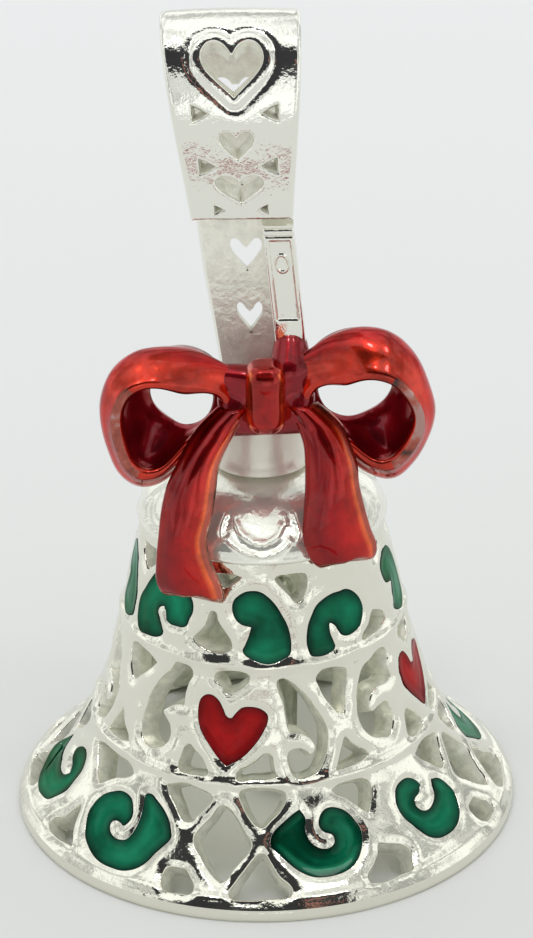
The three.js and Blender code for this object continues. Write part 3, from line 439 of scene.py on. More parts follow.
def triangulated(loops, extra, keep):
    """Triangles over closed loops and loose points in a plane. keep(centres) says which triangles
    stay. Returns the plane points, the triangles and, for each loop, its points' numbers."""
    coords = [Vector(p) for loop in loops for p in loop.tolist()] + [Vector(p) for p in extra.tolist()]
    edges, spans, first = [], [], 0
    for loop in loops:
        n = len(loop)
        edges += [(first + i, first + (i + 1) % n) for i in range(n)]
        spans.append((first, first + n))
        first += n
    verts, _, faces, made_from, _, _ = delaunay_2d_cdt(coords, edges, [], 0, 1e-7)
    plane = np.array([tuple(v) for v in verts])
    tri = np.array([f for f in faces if len(f) == 3])
    tri = tri[keep(plane[tri].mean(1))]
    new = np.full(len(coords), -1)
    for i, sources in enumerate(made_from):
        for s in sources:
            new[s] = i
    return plane, tri, [new[a:b] for a, b in spans]


# ---- The wall's surface -------------------------------------------------------------------------

fine_profile = smooth_curve([(z, r) for r, z in PROFILE], False, corner=-1, fine=24)
HEIGHTS = np.linspace(PROFILE[0][1], PROFILE[-1][1], 600)
RADII = np.interp(HEIGHTS, fine_profile[:, 0], fine_profile[:, 1])
SLOPES = np.gradient(RADII, HEIGHTS)
ARCS = np.concatenate([[0], np.cumsum(np.hypot(np.diff(HEIGHTS), np.diff(RADII)))])
SPREAD = np.concatenate([[0], np.cumsum(np.diff(ARCS) * 2 / (RADII[1:] + RADII[:-1]))])
PLANE_TOP = 10.0          # radius in the flattened plane where the wall meets the cap
PLANE_RADII = PLANE_TOP * np.exp(SPREAD[-1] - SPREAD)


def radius_at(z):
    return np.interp(z, HEIGHTS, RADII)


def arc_at(z):
    return np.interp(z, HEIGHTS, ARCS)


def height_at(arc):
    return np.interp(arc, ARCS, HEIGHTS)


def to_plane(turn, z):
    """The wall laid flat as a ring, with all angles kept, so that it has no seam."""
    r = np.interp(z, HEIGHTS, PLANE_RADII)
    return np.stack([r * np.cos(turn), r * np.sin(turn)], 1)


def from_plane(points):
    r = np.hypot(points[:, 0], points[:, 1])
    z = np.interp(-r, -PLANE_RADII, HEIGHTS)
    return np.arctan2(points[:, 1], points[:, 0]), z


def on_wall(turn, z, depth):
    """Points at a depth under the wall's outside, in millimetres."""
    r, slope = radius_at(z), np.interp(z, HEIGHTS, SLOPES)
    size = np.sqrt(1 + slope**2)
    out = r - depth / size
    return np.stack([out * np.sin(turn), -out * np.cos(turn), z + depth * slope / size], 1)


def wall_loop(outline, angle):
    """An outline as evenly spaced (turn, height), running anticlockwise seen from outside, with its
    inward normals in (turn, height) per millimetre and the room inside it."""
    p = np.array(outline, float)
    mean = radius_at(p[:, 1].mean())
    flat = np.stack([np.radians(p[:, 0]) * mean, arc_at(p[:, 1])], 1)
    if area_2d(flat) < 0:
        flat = flat[::-1]
    flat = respaced(smooth_curve(flat, True), OUTLINE_STEP, True)
    z = height_at(flat[:, 1])
    turn = flat[:, 0] / mean + math.radians(angle)
    local = np.stack([flat[:, 0] * radius_at(z) / mean, flat[:, 1]], 1)
    normal = normals_2d(local)
    room = evened(room_inside(local, normal))
    per_mm = 1 / np.sqrt(1 + np.interp(z, HEIGHTS, SLOPES) ** 2)
    step = np.stack([normal[:, 0] / radius_at(z), normal[:, 1] * per_mm], 1)
    return np.stack([turn, z], 1), step, room


ROOM_SHARE = 0.3          # how much of an outline's own width a ring may move in by


def moved_in(loop, step, room, distance):
    """The loop moved inwards, by less where it is narrow."""
    reach = np.minimum(distance, ROOM_SHARE * room)
    return loop + step * reach[:, None]


ROW_GAP = 0.87            # rows of loose points stand this share of their spacing apart


def rows(step, low, high):
    """Loose points in staggered rows round the wall."""
    arcs = np.arange(arc_at(low) + step, arc_at(high) - step * 0.6, step * ROW_GAP)
    turns, heights = [], []
    for i, z in enumerate(height_at(arcs)):
        n = int(round(2 * math.pi * radius_at(z) / step))
        turns.append((np.arange(n) + 0.5 * (i % 2)) * 2 * math.pi / n)
        heights.append(np.full(n, z))
    return np.concatenate(turns), np.concatenate(heights)


def ring_at(z, count):
    turn = np.arange(count) * 2 * math.pi / count
    return np.stack([turn, np.full(count, z)], 1)


RING_COUNT = 360


def sheet(holes, step, low, high):
    """The wall's sheet between two heights, without the holes. Returns its points as turns and
    heights, its triangles, the numbers of each loop's points, and a search tree over the holes'
    edges."""
    loops = [ring_at(low, RING_COUNT), ring_at(high, RING_COUNT)] + holes
    flat_holes = [to_plane(h[:, 0], h[:, 1]) for h in holes]
    turns, heights = rows(step, low, high)
    loose = to_plane(turns, heights)
    tree = nearest_tree(np.concatenate([on_wall(h[:, 0], h[:, 1], 0.0) for h in holes]))
    keep = distances(tree, on_wall(turns, heights, 0.0)) > step * 0.55
    for h in flat_holes:
        keep &= ~inside(loose, h)
    loose = loose[keep]

    def in_metal(centres):
        ok = np.hypot(centres[:, 0], centres[:, 1]) > np.interp(high, HEIGHTS, PLANE_RADII) * 0.9999
        for h in flat_holes:
            ok &= ~inside(centres, h)
        return ok

    plane, tri, numbers = triangulated([to_plane(q[:, 0], q[:, 1]) for q in loops], loose, in_metal)
    turn, z = from_plane(plane)
    return turn, z, tri, numbers, tree


RAISED_RINGS = [(10.78, 0.2, 0.1), (5.28, 0.2, 0.09), (1.0, 0.14, 0.06)]  # height, half width, lift


def relief(turn, z):
    """Depth of the wall's outside: its raised rings, and the slow unevenness of a casting."""
    depth = np.zeros(len(z))
    for height, half, lift in RAISED_RINGS:
        depth -= lift * np.exp(-(((z - height) / half) ** 2))
    depth += 0.02 * np.sin(7 * turn + 2.1 * z) * np.sin(1.7 * z + 3 * turn)
    depth += 0.012 * np.sin(23 * turn - 3.1 * z) * np.sin(4.3 * z + 11 * turn)
    return depth


RIB_DROP = 0.085          # how far a rib's face falls away at its edges
RIB_REACH = 0.19
# Rings down a window's and a cell's side: [distance in from the outline, depth].
WINDOW_STEPS = [
    (0.02, 0.008), (0.055, 0.035), (0.075, 0.1), (0.16, 0.55), (DRAFT, 1.06), (DRAFT - 0.04, WALL),
]
CELL_STEPS = [(0.015, 0.01), (0.035, 0.04), (0.045, 0.12), (0.05, CELL_DEPTH)]
EDGE_RINGS = 3            # of these, the rings that belong to the polished outside
TOP_Z = PROFILE[-1][1]
LOW_Z = 0.62              # where the outer sheet starts above the foot
IN_LOW_Z = 1.0            # where the inner sheet starts
# The foot's ring under both sheets, from the outside in: [radius, height, material].
FOOT_RINGS = [
    (12.33, 0.5, 0), (12.4, 0.3, 0), (12.36, 0.06, 0), (12.28, 0.0, 0), (11.35, 0.0, 2), (11.26, 0.1, 2),
]


def make_wall(outside, sides, inner):
    """The pierced wall: an outer and an inner sheet, joined by every window's side, the foot and
    the top edge."""
    windows = [wall_loop(o, a) for o, a in all_windows()]
    cells = [wall_loop(o, a) for _, o, a in all_cells()]
    b = Builder()
    turn, z, tri, numbers, tree = sheet([w[0] for w in windows + cells], OUTER_STEP, LOW_Z, TOP_Z)
    away = distances(tree, on_wall(turn, z, 0.0))
    rounded = RIB_DROP * np.exp(-((away / RIB_REACH) ** 2))
    top = b.add(on_wall(turn, z, relief(turn, z) + rounded))
    b.triangles(top, tri, flip=True)
    outer_low, outer_high = top[numbers[0]], top[numbers[1]]
    inner_loops = []
    for k, (loop, step, room) in enumerate(windows + cells):
        steps = WINDOW_STEPS if k < len(windows) else CELL_STEPS
        before = top[numbers[2 + k]]
        base = relief(loop[:, 0], loop[:, 1]) + RIB_DROP
        for j, (distance, depth) in enumerate(steps):
            q = moved_in(loop, step, room, distance)
            fade = max(0.0, 1 - depth)
            ring = b.add(on_wall(q[:, 0], q[:, 1], depth + base * fade))
            b.strip(before, ring, 0 if j < EDGE_RINGS else 1)
            before = ring
        if k < len(windows):
            inner_loops.append((q, before))
        else:
            flat = to_plane(q[:, 0], q[:, 1])
            _, bottom, edge_numbers = triangulated([flat], np.zeros((0, 2)), lambda c, f=flat: inside(c, f))
            swap = dict(zip(edge_numbers[0].tolist(), before.tolist()))
            b.triangles(swap, [t for t in bottom.tolist() if all(i in swap for i in t)], 1, flip=True)
    turn, z, tri, numbers, _ = sheet([q for q, _ in inner_loops], INNER_STEP, IN_LOW_Z, TOP_Z)
    back = b.add(on_wall(turn, z, np.full(len(z), WALL)))
    for (q, before), own in zip(inner_loops, numbers[2:]):
        back[own] = before
    b.triangles(back, tri, 2)
    turn = ring_at(0, RING_COUNT)[:, 0]
    last = outer_low
    for r, h, zone in FOOT_RINGS:
        ring = b.add(np.stack([r * np.sin(turn), -r * np.cos(turn), np.full(RING_COUNT, h)], 1))
        b.strip(ring, last, zone)
        last = ring
    b.strip(back[numbers[0]], last, 2)
    b.strip(outer_high, back[numbers[1]], 0)
    return b.build("bell_wall_fine", [outside, sides, inner], sharp=50)


# ---- Enamel fills -------------------------------------------------------------------------------

ENAMEL_INSET = 0.045      # gap between the enamel and its cell's side
ENAMEL_STEP = 0.13
ENAMEL_FLOOR = 0.5        # depth of the enamel's underside
ENAMEL_TOP = 0.07         # depth of its face at the cell's side
ENAMEL_SINK = 0.075       # how much deeper the face lies away from the side
ENAMEL_CROWN = 0.03       # how much it rises again in the middle


def enamel_depth(distance):
    """The glaze climbs a little at the cell's side, dips, and is slightly crowned in the middle."""
    sink = ENAMEL_SINK * (1 - np.exp(-((distance / 0.34) ** 2)))
    crown = ENAMEL_CROWN * np.exp(-((distance - 0.75) / 0.3) ** 2)
    return ENAMEL_TOP + sink - crown


def make_enamel(name, outline, angle, enamel):
    loop, step, room = wall_loop(outline, angle)
    edge = moved_in(loop, step, room, ENAMEL_INSET)
    lo, hi = edge.min(0), edge.max(0)
    whole = 2 * math.pi
    turns, heights = rows(ENAMEL_STEP, lo[1], hi[1])
    turns = turns + whole * round((edge[:, 0].mean() - math.pi) / whole)
    turns = np.concatenate([turns - whole, turns, turns + whole])
    heights = np.tile(heights, 3)
    near = (turns > lo[0]) & (turns < hi[0])
    turns, heights = turns[near], heights[near]
    tree = nearest_tree(on_wall(edge[:, 0], edge[:, 1], 0.0))
    far = distances(tree, on_wall(turns, heights, 0.0))
    flat = to_plane(edge[:, 0], edge[:, 1])
    loose = to_plane(turns, heights)
    loose = loose[(far > ENAMEL_STEP * 0.5) & inside(loose, flat)]
    plane, tri, numbers = triangulated([flat], loose, lambda c: inside(c, flat))
    turn, z = from_plane(plane)
    distance = distances(tree, on_wall(turn, z, 0.0))
    b = Builder()
    top = b.add(on_wall(turn, z, enamel_depth(distance)), distance)
    b.triangles(top, tri, flip=True)
    under = b.add(on_wall(turn, z, np.full(len(z), ENAMEL_FLOOR)))
    b.triangles(under, tri)
    b.strip(top[numbers[0]], under[numbers[0]])
    return b.build(name + "_glaze", [enamel], sharp=50)


# ---- Turned, lofted and drawn pieces --------------------------------------------------------------


def turned(name, profile, count, materials, lift=None, sharp=50, x=0.0):
    """A closed profile of [radius, height] points turned about an upright axis. lift(turns, height,
    radius) adds to the radius. Points on the axis are shared."""
    turn = np.arange(count) * 2 * math.pi / count
    b = Builder()
    rings = []
    for i, (r, z) in enumerate(profile):
        if r < 1e-6:
            rings.append(b.add([(x, 0, z)]))
            continue
        radius = np.full(count, r) + (lift(turn, z, r) if lift else 0)
        ring = [x + radius * np.sin(turn), -radius * np.cos(turn), np.full(count, z)]
        rings.append(b.add(np.stack(ring, 1)))
    around_once = [(i, (i + 1) % count) for i in range(count)]
    for low, high in zip(rings, rings[1:]):
        if len(low) == 1:
            b.faces_from([(int(low[0]), int(high[k]), int(high[i])) for i, k in around_once])
        elif len(high) == 1:
            b.faces_from([(int(low[i]), int(low[k]), int(high[0])) for i, k in around_once])
        else:
            b.strip(low, high)
    return b.build(name, materials, sharp)


def lofted(name, rings, closed, materials, zone=lambda i, j: 0, sharp=50, values=0.0):
    """Skins a run of closed rings, anticlockwise seen against the direction of travel. zone(ring,
    point) picks a material. values holds one number for each point of a ring."""
    b = Builder()
    made = [b.add(r, values) for r in rings]
    count, n = len(rings), len(rings[0])
    around_once = [(j, (j + 1) % n) for j in range(n)]
    for i in range(count if closed else count - 1):
        a, c = made[i], made[(i + 1) % count]
        for j, k in around_once:
            b.faces_from([(int(a[j]), int(c[j]), int(c[k]), int(a[k]))], zone(i, j))
    if not closed:
        for end, order in ((0, 1), (-1, -1)):
            centre = b.add([np.mean(rings[end], 0)])[0]
            for j, k in around_once:
                face = (int(centre), int(made[end][j]), int(made[end][k]))
                b.faces_from([face[::order]], zone(0 if end == 0 else count - 2, j))
    return b.build(name, materials, sharp)


def wire_rings(path, radius, closed, count=20):
    """Rings of a round wire along a path that lies in one plane."""
    p = np.asarray(path, float)
    along = np.roll(p, -1, 0) - np.roll(p, 1, 0)
    if not closed:
        along[0], along[-1] = p[1] - p[0], p[-1] - p[-2]
    along /= np.linalg.norm(along, axis=1)[:, None]
    flat = np.cross(p[len(p) // 3] - p[0], p[len(p) // 2] - p[0])
    flat /= np.linalg.norm(flat)
    side = np.cross(along, flat)
    turn = np.arange(count) * 2 * math.pi / count
    c, s = np.cos(turn)[:, None], np.sin(turn)[:, None]
    return [q + radius * (c * out + s * flat) for q, out in zip(p, side)]


# ---- Cap and neck -------------------------------------------------------------------------------

CAP_PROFILE = [
    (5.75, 15.72), (5.98, 15.75), (6.06, 15.87), (6.0, 16.03), (5.9, 16.3), (5.66, 16.62), (5.4, 16.9),
    (4.6, 17.5), (3.4, 18.1), (2.0, 18.5),
]
CAP_HOLLOW = [(5.6, 15.72), (4.7, 15.75), (3.9, 16.6), (2.6, 17.05), (0, 17.2)]
CAP_TOP = 18.5
CAP_COUNT = 420           # points round the cap
# Middle of a swag: [degrees, height]. Two raised lines run beside it, with a hollow between them.
SWAG = [
    (-17, 18.0), (-19, 17.65), (-16, 17.15), (-9, 16.7), (-1, 16.5), (7, 16.65), (13, 17.1), (16, 17.5),
    (15, 17.9),
]
SWAG_TURNS = range(0, 360, 60)
SWAG_REACH = 26           # degrees either side of a swag's middle that its lines can touch
SWAG_RADIUS = 5.5         # turns degrees into millimetres along the cap
SWAG_STRETCH = 1.25       # length along the cap for each millimetre of height
SWAG_LINE = 0.3           # distance of each raised line from the swag's middle
SWAG_HALF = 0.13          # half width of a line
SWAG_LIFT = 0.19
SWAG_HOLLOW = 0.05
SWAG_ZONE = (4.4, 15.95)  # the swags lie outside this radius and above this height


def cap_relief(turn, z, r):
    """Height of the swags' raised lines round the cap at one height and radius."""
    lift = np.zeros(len(turn))
    if r <= SWAG_ZONE[0] or z <= SWAG_ZONE[1]:
        return lift
    curve = smooth_curve(SWAG, False, corner=-1, fine=10)
    for middle in SWAG_TURNS:
        away = (np.degrees(turn) - middle + 180) % 360 - 180
        near = np.abs(away) < SWAG_REACH
        x = np.radians(away[near])[:, None] * SWAG_RADIUS - np.radians(curve[None, :, 0]) * SWAG_RADIUS
        y = (z - curve[None, :, 1]) * SWAG_STRETCH
        far = np.sqrt(x**2 + y**2).min(1)
        lines = np.exp(-(((far - SWAG_LINE) / SWAG_HALF) ** 2))
        hollow = SWAG_HOLLOW * (far < SWAG_LINE) * (1 - lines)
        lift[near] = np.maximum(lift[near], SWAG_LIFT * lines - hollow)
    return lift


def make_cap(silver):
    outside = respaced(smooth_curve(CAP_PROFILE, False, corner=-1, fine=10), 0.085, False)
    hollow = smooth_curve(CAP_HOLLOW, False, corner=-1, fine=6)
    profile = [tuple(p) for p in hollow[::-1]] + [tuple(p) for p in outside] + [(0, CAP_TOP)]
    return turned("cap_domed", profile, CAP_COUNT, [silver], lift=cap_relief, sharp=55)


NECK_PROFILE = [
    (0, 18.53), (2.3, 18.53), (2.42, 18.6), (2.42, 18.75), (2.3, 18.9), (2.22, 19.3), (2.2, 20.2),
    (2.2, 20.9), (2.15, 21.2), (0, 21.2),
]


def make_neck(silver):
    return turned("neck_waisted", NECK_PROFILE, 96, [silver])


# ---- Bow ----------------------------------------------------------------------------------------

# Stations round each loop from the knot over the top: [x, height, front edge's inset, reach].
# Reach is 0 at the knot and 1 far out. Each loop's sections are drawn in towards its centre.
LEFT_LOOP = [
    (-1.0, 24.1, 0.8, 0), (-2.0, 24.7, 0.95, 0.25), (-3.1, 25.05, 0.85, 0.5), (-4.5, 25.45, 0.8, 0.75),
    (-5.8, 25.4, 0.75, 0.9), (-6.85, 24.65, 0.55, 1), (-7.4, 23.4, 0.45, 1), (-7.48, 22.2, 0.45, 1),
    (-7.2, 20.75, 0.5, 1), (-6.6, 19.35, 0.6, 1), (-5.7, 18.68, 0.8, 0.95), (-4.8, 18.75, 0.85, 0.85),
    (-3.7, 19.5, 0.7, 0.6), (-2.5, 20.5, 0.5, 0.35), (-1.3, 21.5, 0.3, 0), (-0.85, 22.8, 0.3, 0),
]
RIGHT_LOOP = [
    (1.6, 24.5, 0.9, 0), (2.5, 25.2, 1.25, 0.25), (3.7, 25.9, 1.25, 0.55), (4.9, 26.25, 1.2, 0.8),
    (6.2, 26.05, 1.1, 0.95), (7.3, 25.05, 0.75, 1), (7.95, 23.6, 0.5, 1), (8.2, 22.4, 0.42, 1),
    (7.9, 21.1, 0.5, 1), (7.15, 19.7, 0.7, 1), (6.2, 18.87, 0.9, 0.95), (5.1, 19.05, 0.9, 0.85),
    (3.9, 19.85, 0.7, 0.6), (2.7, 20.8, 0.5, 0.35), (1.7, 21.6, 0.3, 0), (1.45, 23.0, 0.3, 0),
]
LEFT_CENTRE = (-4.2, 22.3)
RIGHT_CENTRE = (4.9, 22.7)
# Oval of each loop's back edge: middle's x and height, half width and half height.
LEFT_BACK = (-3.7, 22.72, 2.33, 2.42)
RIGHT_BACK = (4.5, 23.2, 2.62, 2.66)
LOOP_FRONT = (-3.0, -4.3)  # front edge: y at the knot, y far out
LOOP_BACK = (-2.05, -1.35)
EDGE_THICK = (0.62, 0.85)  # at the front edge and at the back edge
CROWN_THICK = 0.95
SECTION = 9               # points across each face of a ribbon
LIP = 3                   # points round each of its rounded edges
SHARES = np.linspace(0, 1, SECTION)
# Share of the way across a ribbon, for each point round its section.
ACROSS = np.concatenate([SHARES, np.ones(LIP), SHARES[::-1], np.zeros(LIP)])
WORN_REACH = 0.985        # how far out a loop's front edge is worn down to metal


def lip(last, first, out):
    """Points round a ribbon's edge, from the last point of one face to the first of the other."""
    middle, half = (last + first) / 2, (last - first) / 2
    reach = out / np.linalg.norm(out) * np.linalg.norm(half)
    turns = [math.pi * (i + 1) / (LIP + 1) for i in range(LIP)]
    return [middle + half * math.cos(t) + reach * math.sin(t) for t in turns]


def section(start, end, bulge, inward, thin, thick):
    """A ribbon's rounded cross-section: its outside from start to end, then its inside back
    again."""
    outer, inner = [], []
    for t in SHARES:
        arch = 1 - (2 * t - 1) ** 2
        edge = thin[0] + (thin[1] - thin[0]) * t
        p = start + (end - start) * t + bulge * arch
        outer.append(p)
        inner.append(p + inward * (edge + (thick - edge) * arch))
    across = end - start
    return outer + lip(outer[-1], inner[-1], across) + inner[::-1] + lip(inner[0], outer[0], -across)


def loop_sections(stations, centre, back_oval, side):
    """The sections round a loop, and the material of each one's front edge: 1 worn, 0 whole. side
    is -1 on the left, where the sections run the other way round."""
    fine = respaced(smooth_curve(stations, True, corner=-1, fine=16), 0.2, True)
    x, z, front_in, reach = fine.T
    inward = np.stack([centre[0] - x, np.zeros(len(x)), centre[1] - z], 1)
    inward /= np.linalg.norm(inward, axis=1)[:, None]
    y_front = LOOP_FRONT[0] + (LOOP_FRONT[1] - LOOP_FRONT[0]) * reach
    y_back = LOOP_BACK[0] + (LOOP_BACK[1] - LOOP_BACK[0]) * reach
    front = np.stack([x, y_front, z], 1) + inward * front_in[:, None]
    mid_x, mid_z, half_x, half_z = back_oval
    share = 1 / np.hypot((x - mid_x) / half_x, (z - mid_z) / half_z)
    back = np.stack([mid_x + (x - mid_x) * share, y_back, mid_z + (z - mid_z) * share], 1)
    crown = np.stack([x, (y_front + y_back) / 2, z], 1)
    front, back = evened(front, 14), evened(back, 4)
    inward = evened(inward, 10)
    inward /= np.linalg.norm(inward, axis=1)[:, None]
    rings = [section(f, k, c - (f + k) / 2, n, EDGE_THICK, CROWN_THICK)
             for f, k, c, n in zip(front, back, crown, inward)]
    worn = [int(r >= WORN_REACH) for r in reach]
    return (rings[::-1], worn[::-1]) if side < 0 else (rings, worn)


def ribbon_zone(j, edge):
    """Material of a loop by the point's number round its section: outside, front edge or inside."""
    if 2 * SECTION + LIP <= j < 2 * SECTION + 2 * LIP - 1:
        return edge
    return 0 if j < SECTION - 1 or j >= 2 * SECTION + LIP - 1 else 2


# Tails from the knot down: [height, left, right, y at the left, y at the right].
LEFT_TAIL = [
    (22.7, -1.75, -0.5, -3.35, -3.3), (21.9, -2.7, -1.2, -3.8, -3.8), (21.2, -3.25, -1.75, -4.25, -4.35),
    (20.3, -3.8, -2.25, -4.75, -4.95), (19.4, -4.25, -2.4, -5.1, -5.4), (18.3, -4.55, -2.6, -5.4, -5.85),
    (17.1, -4.72, -2.9, -5.65, -6.15), (15.8, -4.85, -2.6, -5.85, -6.4), (14.8, -4.85, -2.2, -5.9, -6.5),
    (14.0, -4.6, -2.05, -5.85, -6.5),
]
RIGHT_TAIL = [
    (22.8, 1.2, 2.5, -3.3, -3.35), (22.0, 1.85, 3.5, -3.8, -3.8), (21.2, 2.25, 3.95, -4.4, -4.25),
    (20.3, 2.33, 4.28, -4.9, -4.65), (19.3, 2.32, 4.4, -5.35, -4.95), (18.2, 2.24, 4.65, -5.7, -5.1),
    (17.1, 2.2, 4.95, -6.0, -5.2), (16.2, 2.45, 5.25, -6.15, -5.2), (15.5, 2.9, 5.2, -6.15, -5.15),
]
TAIL_THICK = (0.5, 0.8)   # at the edges and in the middle
TAIL_CROWN = 0.5          # how far the middle stands out in front of the edges
TAIL_NOTCH = 0.4          # how far the end is notched in its middle
TAIL_WAVE = 0.1           # waviness of the end
TAIL_ROLL = 7             # sections over which the end rounds off
TAIL_WORN = 3             # sections at the end that are worn


def tail_rings(stations):
    """The sections down a tail. Over the last of them it thins out to its notched end."""
    fine = respaced(smooth_curve(stations, False, corner=-1, fine=16), 0.16, False)
    rings = []
    for i, (z, left, right, y_left, y_right) in enumerate(fine):
        a, b = np.array([left, y_left, z]), np.array([right, y_right, z])
        across = b - a
        back = np.array([-across[1], across[0], 0]) / np.linalg.norm(across)
        end = max(0.0, 1 - (len(fine) - 1 - i) / TAIL_ROLL)
        full = math.sqrt(1 - 0.9 * end**4)
        thin, thick = (t * full for t in TAIL_THICK)
        shift = back * (TAIL_THICK[1] - thick) / 2
        ring = section(a + shift, b + shift, -back * TAIL_CROWN, back, (thin, thin), thick)
        for p in ring:
            t = np.clip((p - a) @ across / (across @ across), 0, 1)
            p[2] += end * (TAIL_NOTCH * math.sin(math.pi * t) ** 2 + TAIL_WAVE * math.sin(11 * t))
        rings.append(ring)
    return rings


def tail_zone(i, j, count):
    """Material of a tail: worn at its end and along its right edge, red elsewhere."""
    return int(i >= count - TAIL_WORN or SECTION <= j < SECTION + LIP - 1)


def pillow(name, low, high, corner, bulge, materials, cuts=18):
    """A block with rounded corners and slightly swollen faces, between two corners in millimetres.
    Each point's value rises from 0 in the middle to 1 at the left and right faces."""
    low, high = np.array(low, float), np.array(high, float)
    centre, half = (low + high) / 2, (high - low) / 2
    grid = np.linspace(-1, 1, cuts)
    b = Builder()
    seen, faces = {}, []

    def number(key, p):
        if key not in seen:
            core = half - corner
            q = np.clip(p * half, -core, core)
            out = p * half - q
            size = np.linalg.norm(out)
            if size > 1e-9:
                out = out / size * corner
            swell = 1 + bulge * (1 - p[0] ** 2) * (2 - p[1] ** 2 - p[2] ** 2)
            seen[key] = (len(seen), centre + (q + out) * np.array([1, swell, 1]), abs(p[0]) ** 5)
        return seen[key][0]

    for axis in range(3):
        for sign in (-1, 1):
            for i in range(cuts - 1):
                for j in range(cuts - 1):
                    quad = []
                    for di, dj in ((0, 0), (1, 0), (1, 1), (0, 1)):
                        index = [0, 0, 0]
                        index[axis] = 0 if sign < 0 else cuts - 1
                        index[(axis + 1) % 3] = i + di
                        index[(axis + 2) % 3] = j + dj
                        quad.append(number(tuple(index), np.array([grid[k] for k in index])))
                    faces.append(tuple(quad if sign > 0 else quad[::-1]))
    ordered = sorted(seen.values(), key=lambda v: v[0])
    b.add([p for _, p, _ in ordered], [value for _, _, value in ordered])
    b.faces_from(faces)
    return b.build(name, materials)


BALL_AROUND = 20
BALL_UP = 10
BALLS_IN_RUN = 14
SKIN_VOXEL = 0.1
SKIN_SMOOTHING = 45


def ball():
    """Points and faces of a ball of radius 1. A tiny flat face closes it at each pole."""
    rise = math.pi * (np.arange(BALL_UP + 1) + 0.001) / (BALL_UP + 0.002)
    turn = 2 * math.pi * np.arange(BALL_AROUND) / BALL_AROUND
    rise, turn = (g.ravel() for g in np.meshgrid(rise, turn, indexing="ij"))
    points = np.stack([np.sin(rise) * np.cos(turn), np.sin(rise) * np.sin(turn), np.cos(rise)], 1)
    faces = []
    for i in range(BALL_UP):
        low, high = i * BALL_AROUND, (i + 1) * BALL_AROUND
        for j in range(BALL_AROUND):
            k = (j + 1) % BALL_AROUND
            faces.append(np.array([low + j, high + j, high + k, low + k]))
    faces.append(np.arange(BALL_AROUND))
    faces.append(BALL_UP * BALL_AROUND + np.arange(BALL_AROUND)[::-1])
    return points, faces


def melted(name, runs, materials):
    """One smooth skin round runs of balls, each run given as its start, end and radius at either,
    in millimetres."""
    unit, unit_faces = ball()
    points, faces = [], []
    for start, end, low, high in runs:
        start, end = np.array(start), np.array(end)
        for t in np.linspace(0, 1, BALLS_IN_RUN):
            faces += [tuple((f + len(unit) * len(points)).tolist()) for f in unit_faces]
            points.append(start + (end - start) * t + (low + (high - low) * t) * unit)
    mesh = bpy.data.meshes.new(name)
    mesh.from_pydata(np.concatenate(points).tolist(), [], faces)
    rough = bpy.data.objects.new(name + "_rough", mesh)
    bpy.context.scene.collection.objects.link(rough)
    skin = rough.modifiers.new("skin", "REMESH")
    skin.mode = "VOXEL"
    skin.voxel_size = SKIN_VOXEL
    even = rough.modifiers.new("even", "SMOOTH")
    even.factor = 0.5
    even.iterations = SKIN_SMOOTHING
    bpy.context.view_layer.update()
    smooth = rough.evaluated_get(bpy.context.evaluated_depsgraph_get()).to_mesh()
    b = Builder()
    b.add([tuple(v.co) for v in smooth.vertices])
    b.faces_from([tuple(p.vertices) for p in smooth.polygons])
    obj = b.build(name, materials, None)
    bpy.data.objects.remove(rough)
    bpy.data.meshes.remove(mesh)
    return obj


# The knot's block: two opposite corners, the radius of its rounding, and its swelling.
KNOT = ((-0.68, -4.4, 21.55), (1.2, -2.2, 25.0), 0.75, 0.1)
# The mass behind the knot that carries the bow and the bail: [start, end, radius at the start, at the end].
SADDLE_RUNS = [
    ((-2.3, -2.25, 23.95), (-0.5, -2.5, 23.7), 0.55, 0.85),
    ((0.9, -2.5, 23.8), (2.5, -2.25, 24.35), 0.9, 0.6),
    ((-1.4, -2.65, 22.8), (1.9, -2.65, 22.9), 0.7, 0.75),
    ((-1.1, -3.0, 22.3), (-2.2, -3.6, 21.5), 0.72, 0.5),
    ((1.7, -3.0, 22.4), (2.9, -3.7, 21.6), 0.72, 0.5),
    ((-1.5, -3.0, 21.75), (2.3, -3.0, 21.85), 0.66, 0.66),
    ((1.4, -2.3, 24.0), (1.47, -1.5, 25.1), 1.05, 0.85),
    ((0.4, -1.6, 23.2), (0.35, 0.05, 22.6), 1.25, 1.0),
]


# ---- Bail ---------------------------------------------------------------------------------------

# Outer face of the strap from its front end, over the top and down the back: [y, height, width].
STRAP_PATH = [
    (-2.95, 31.8, 4.7), (-3.2, 33.4, 5.0), (-3.3, 35.2, 5.4), (-3.22, 37.0, 5.8), (-2.75, 38.7, 6.15),
    (-2.05, 40.0, 6.35), (-1.0, 40.85, 6.45), (0.15, 41.1, 6.45), (1.3, 40.75, 6.4), (2.25, 39.8, 6.3),
    (3.0, 38.3, 6.1), (3.37, 36.5, 5.8), (3.4, 34.5, 5.4), (3.2, 32.2, 4.95), (2.8, 29.8, 4.55),
    (2.4, 27.4, 4.15), (2.2, 25.0, 3.6), (2.15, 22.8, 3.2), (2.15, 21.26, 3.0),
]
STRAP_STEP = 0.12
# Hearts through the strap: [middle height, width, height, front (-1) or back (1)].
STRAP_HEARTS = [
    (39.15, 2.9, 2.4, -1), (35.75, 1.65, 1.5, -1), (33.6, 2.3, 1.5, -1),
    (36.4, 2.3, 2.2, 1), (32.4, 2.1, 2.0, 1), (28.3, 1.9, 1.9, 1), (25.3, 1.6, 1.9, 1),
]
# Small openings beside the hearts: [height, distance from the centreline, size].
STRAP_NOTCHES = [(37.3, 1.6, 1.15), (34.75, 1.4, 1.2), (32.55, 1.0, 0.75)]
BAIL_LEAN = 0.044         # how far the bail leans left for each millimetre of height
BAIL_UPRIGHT = 16         # height at which its centreline crosses the bell's axis


def bail_centre(z):
    return -BAIL_LEAN * (z - BAIL_UPRIGHT)


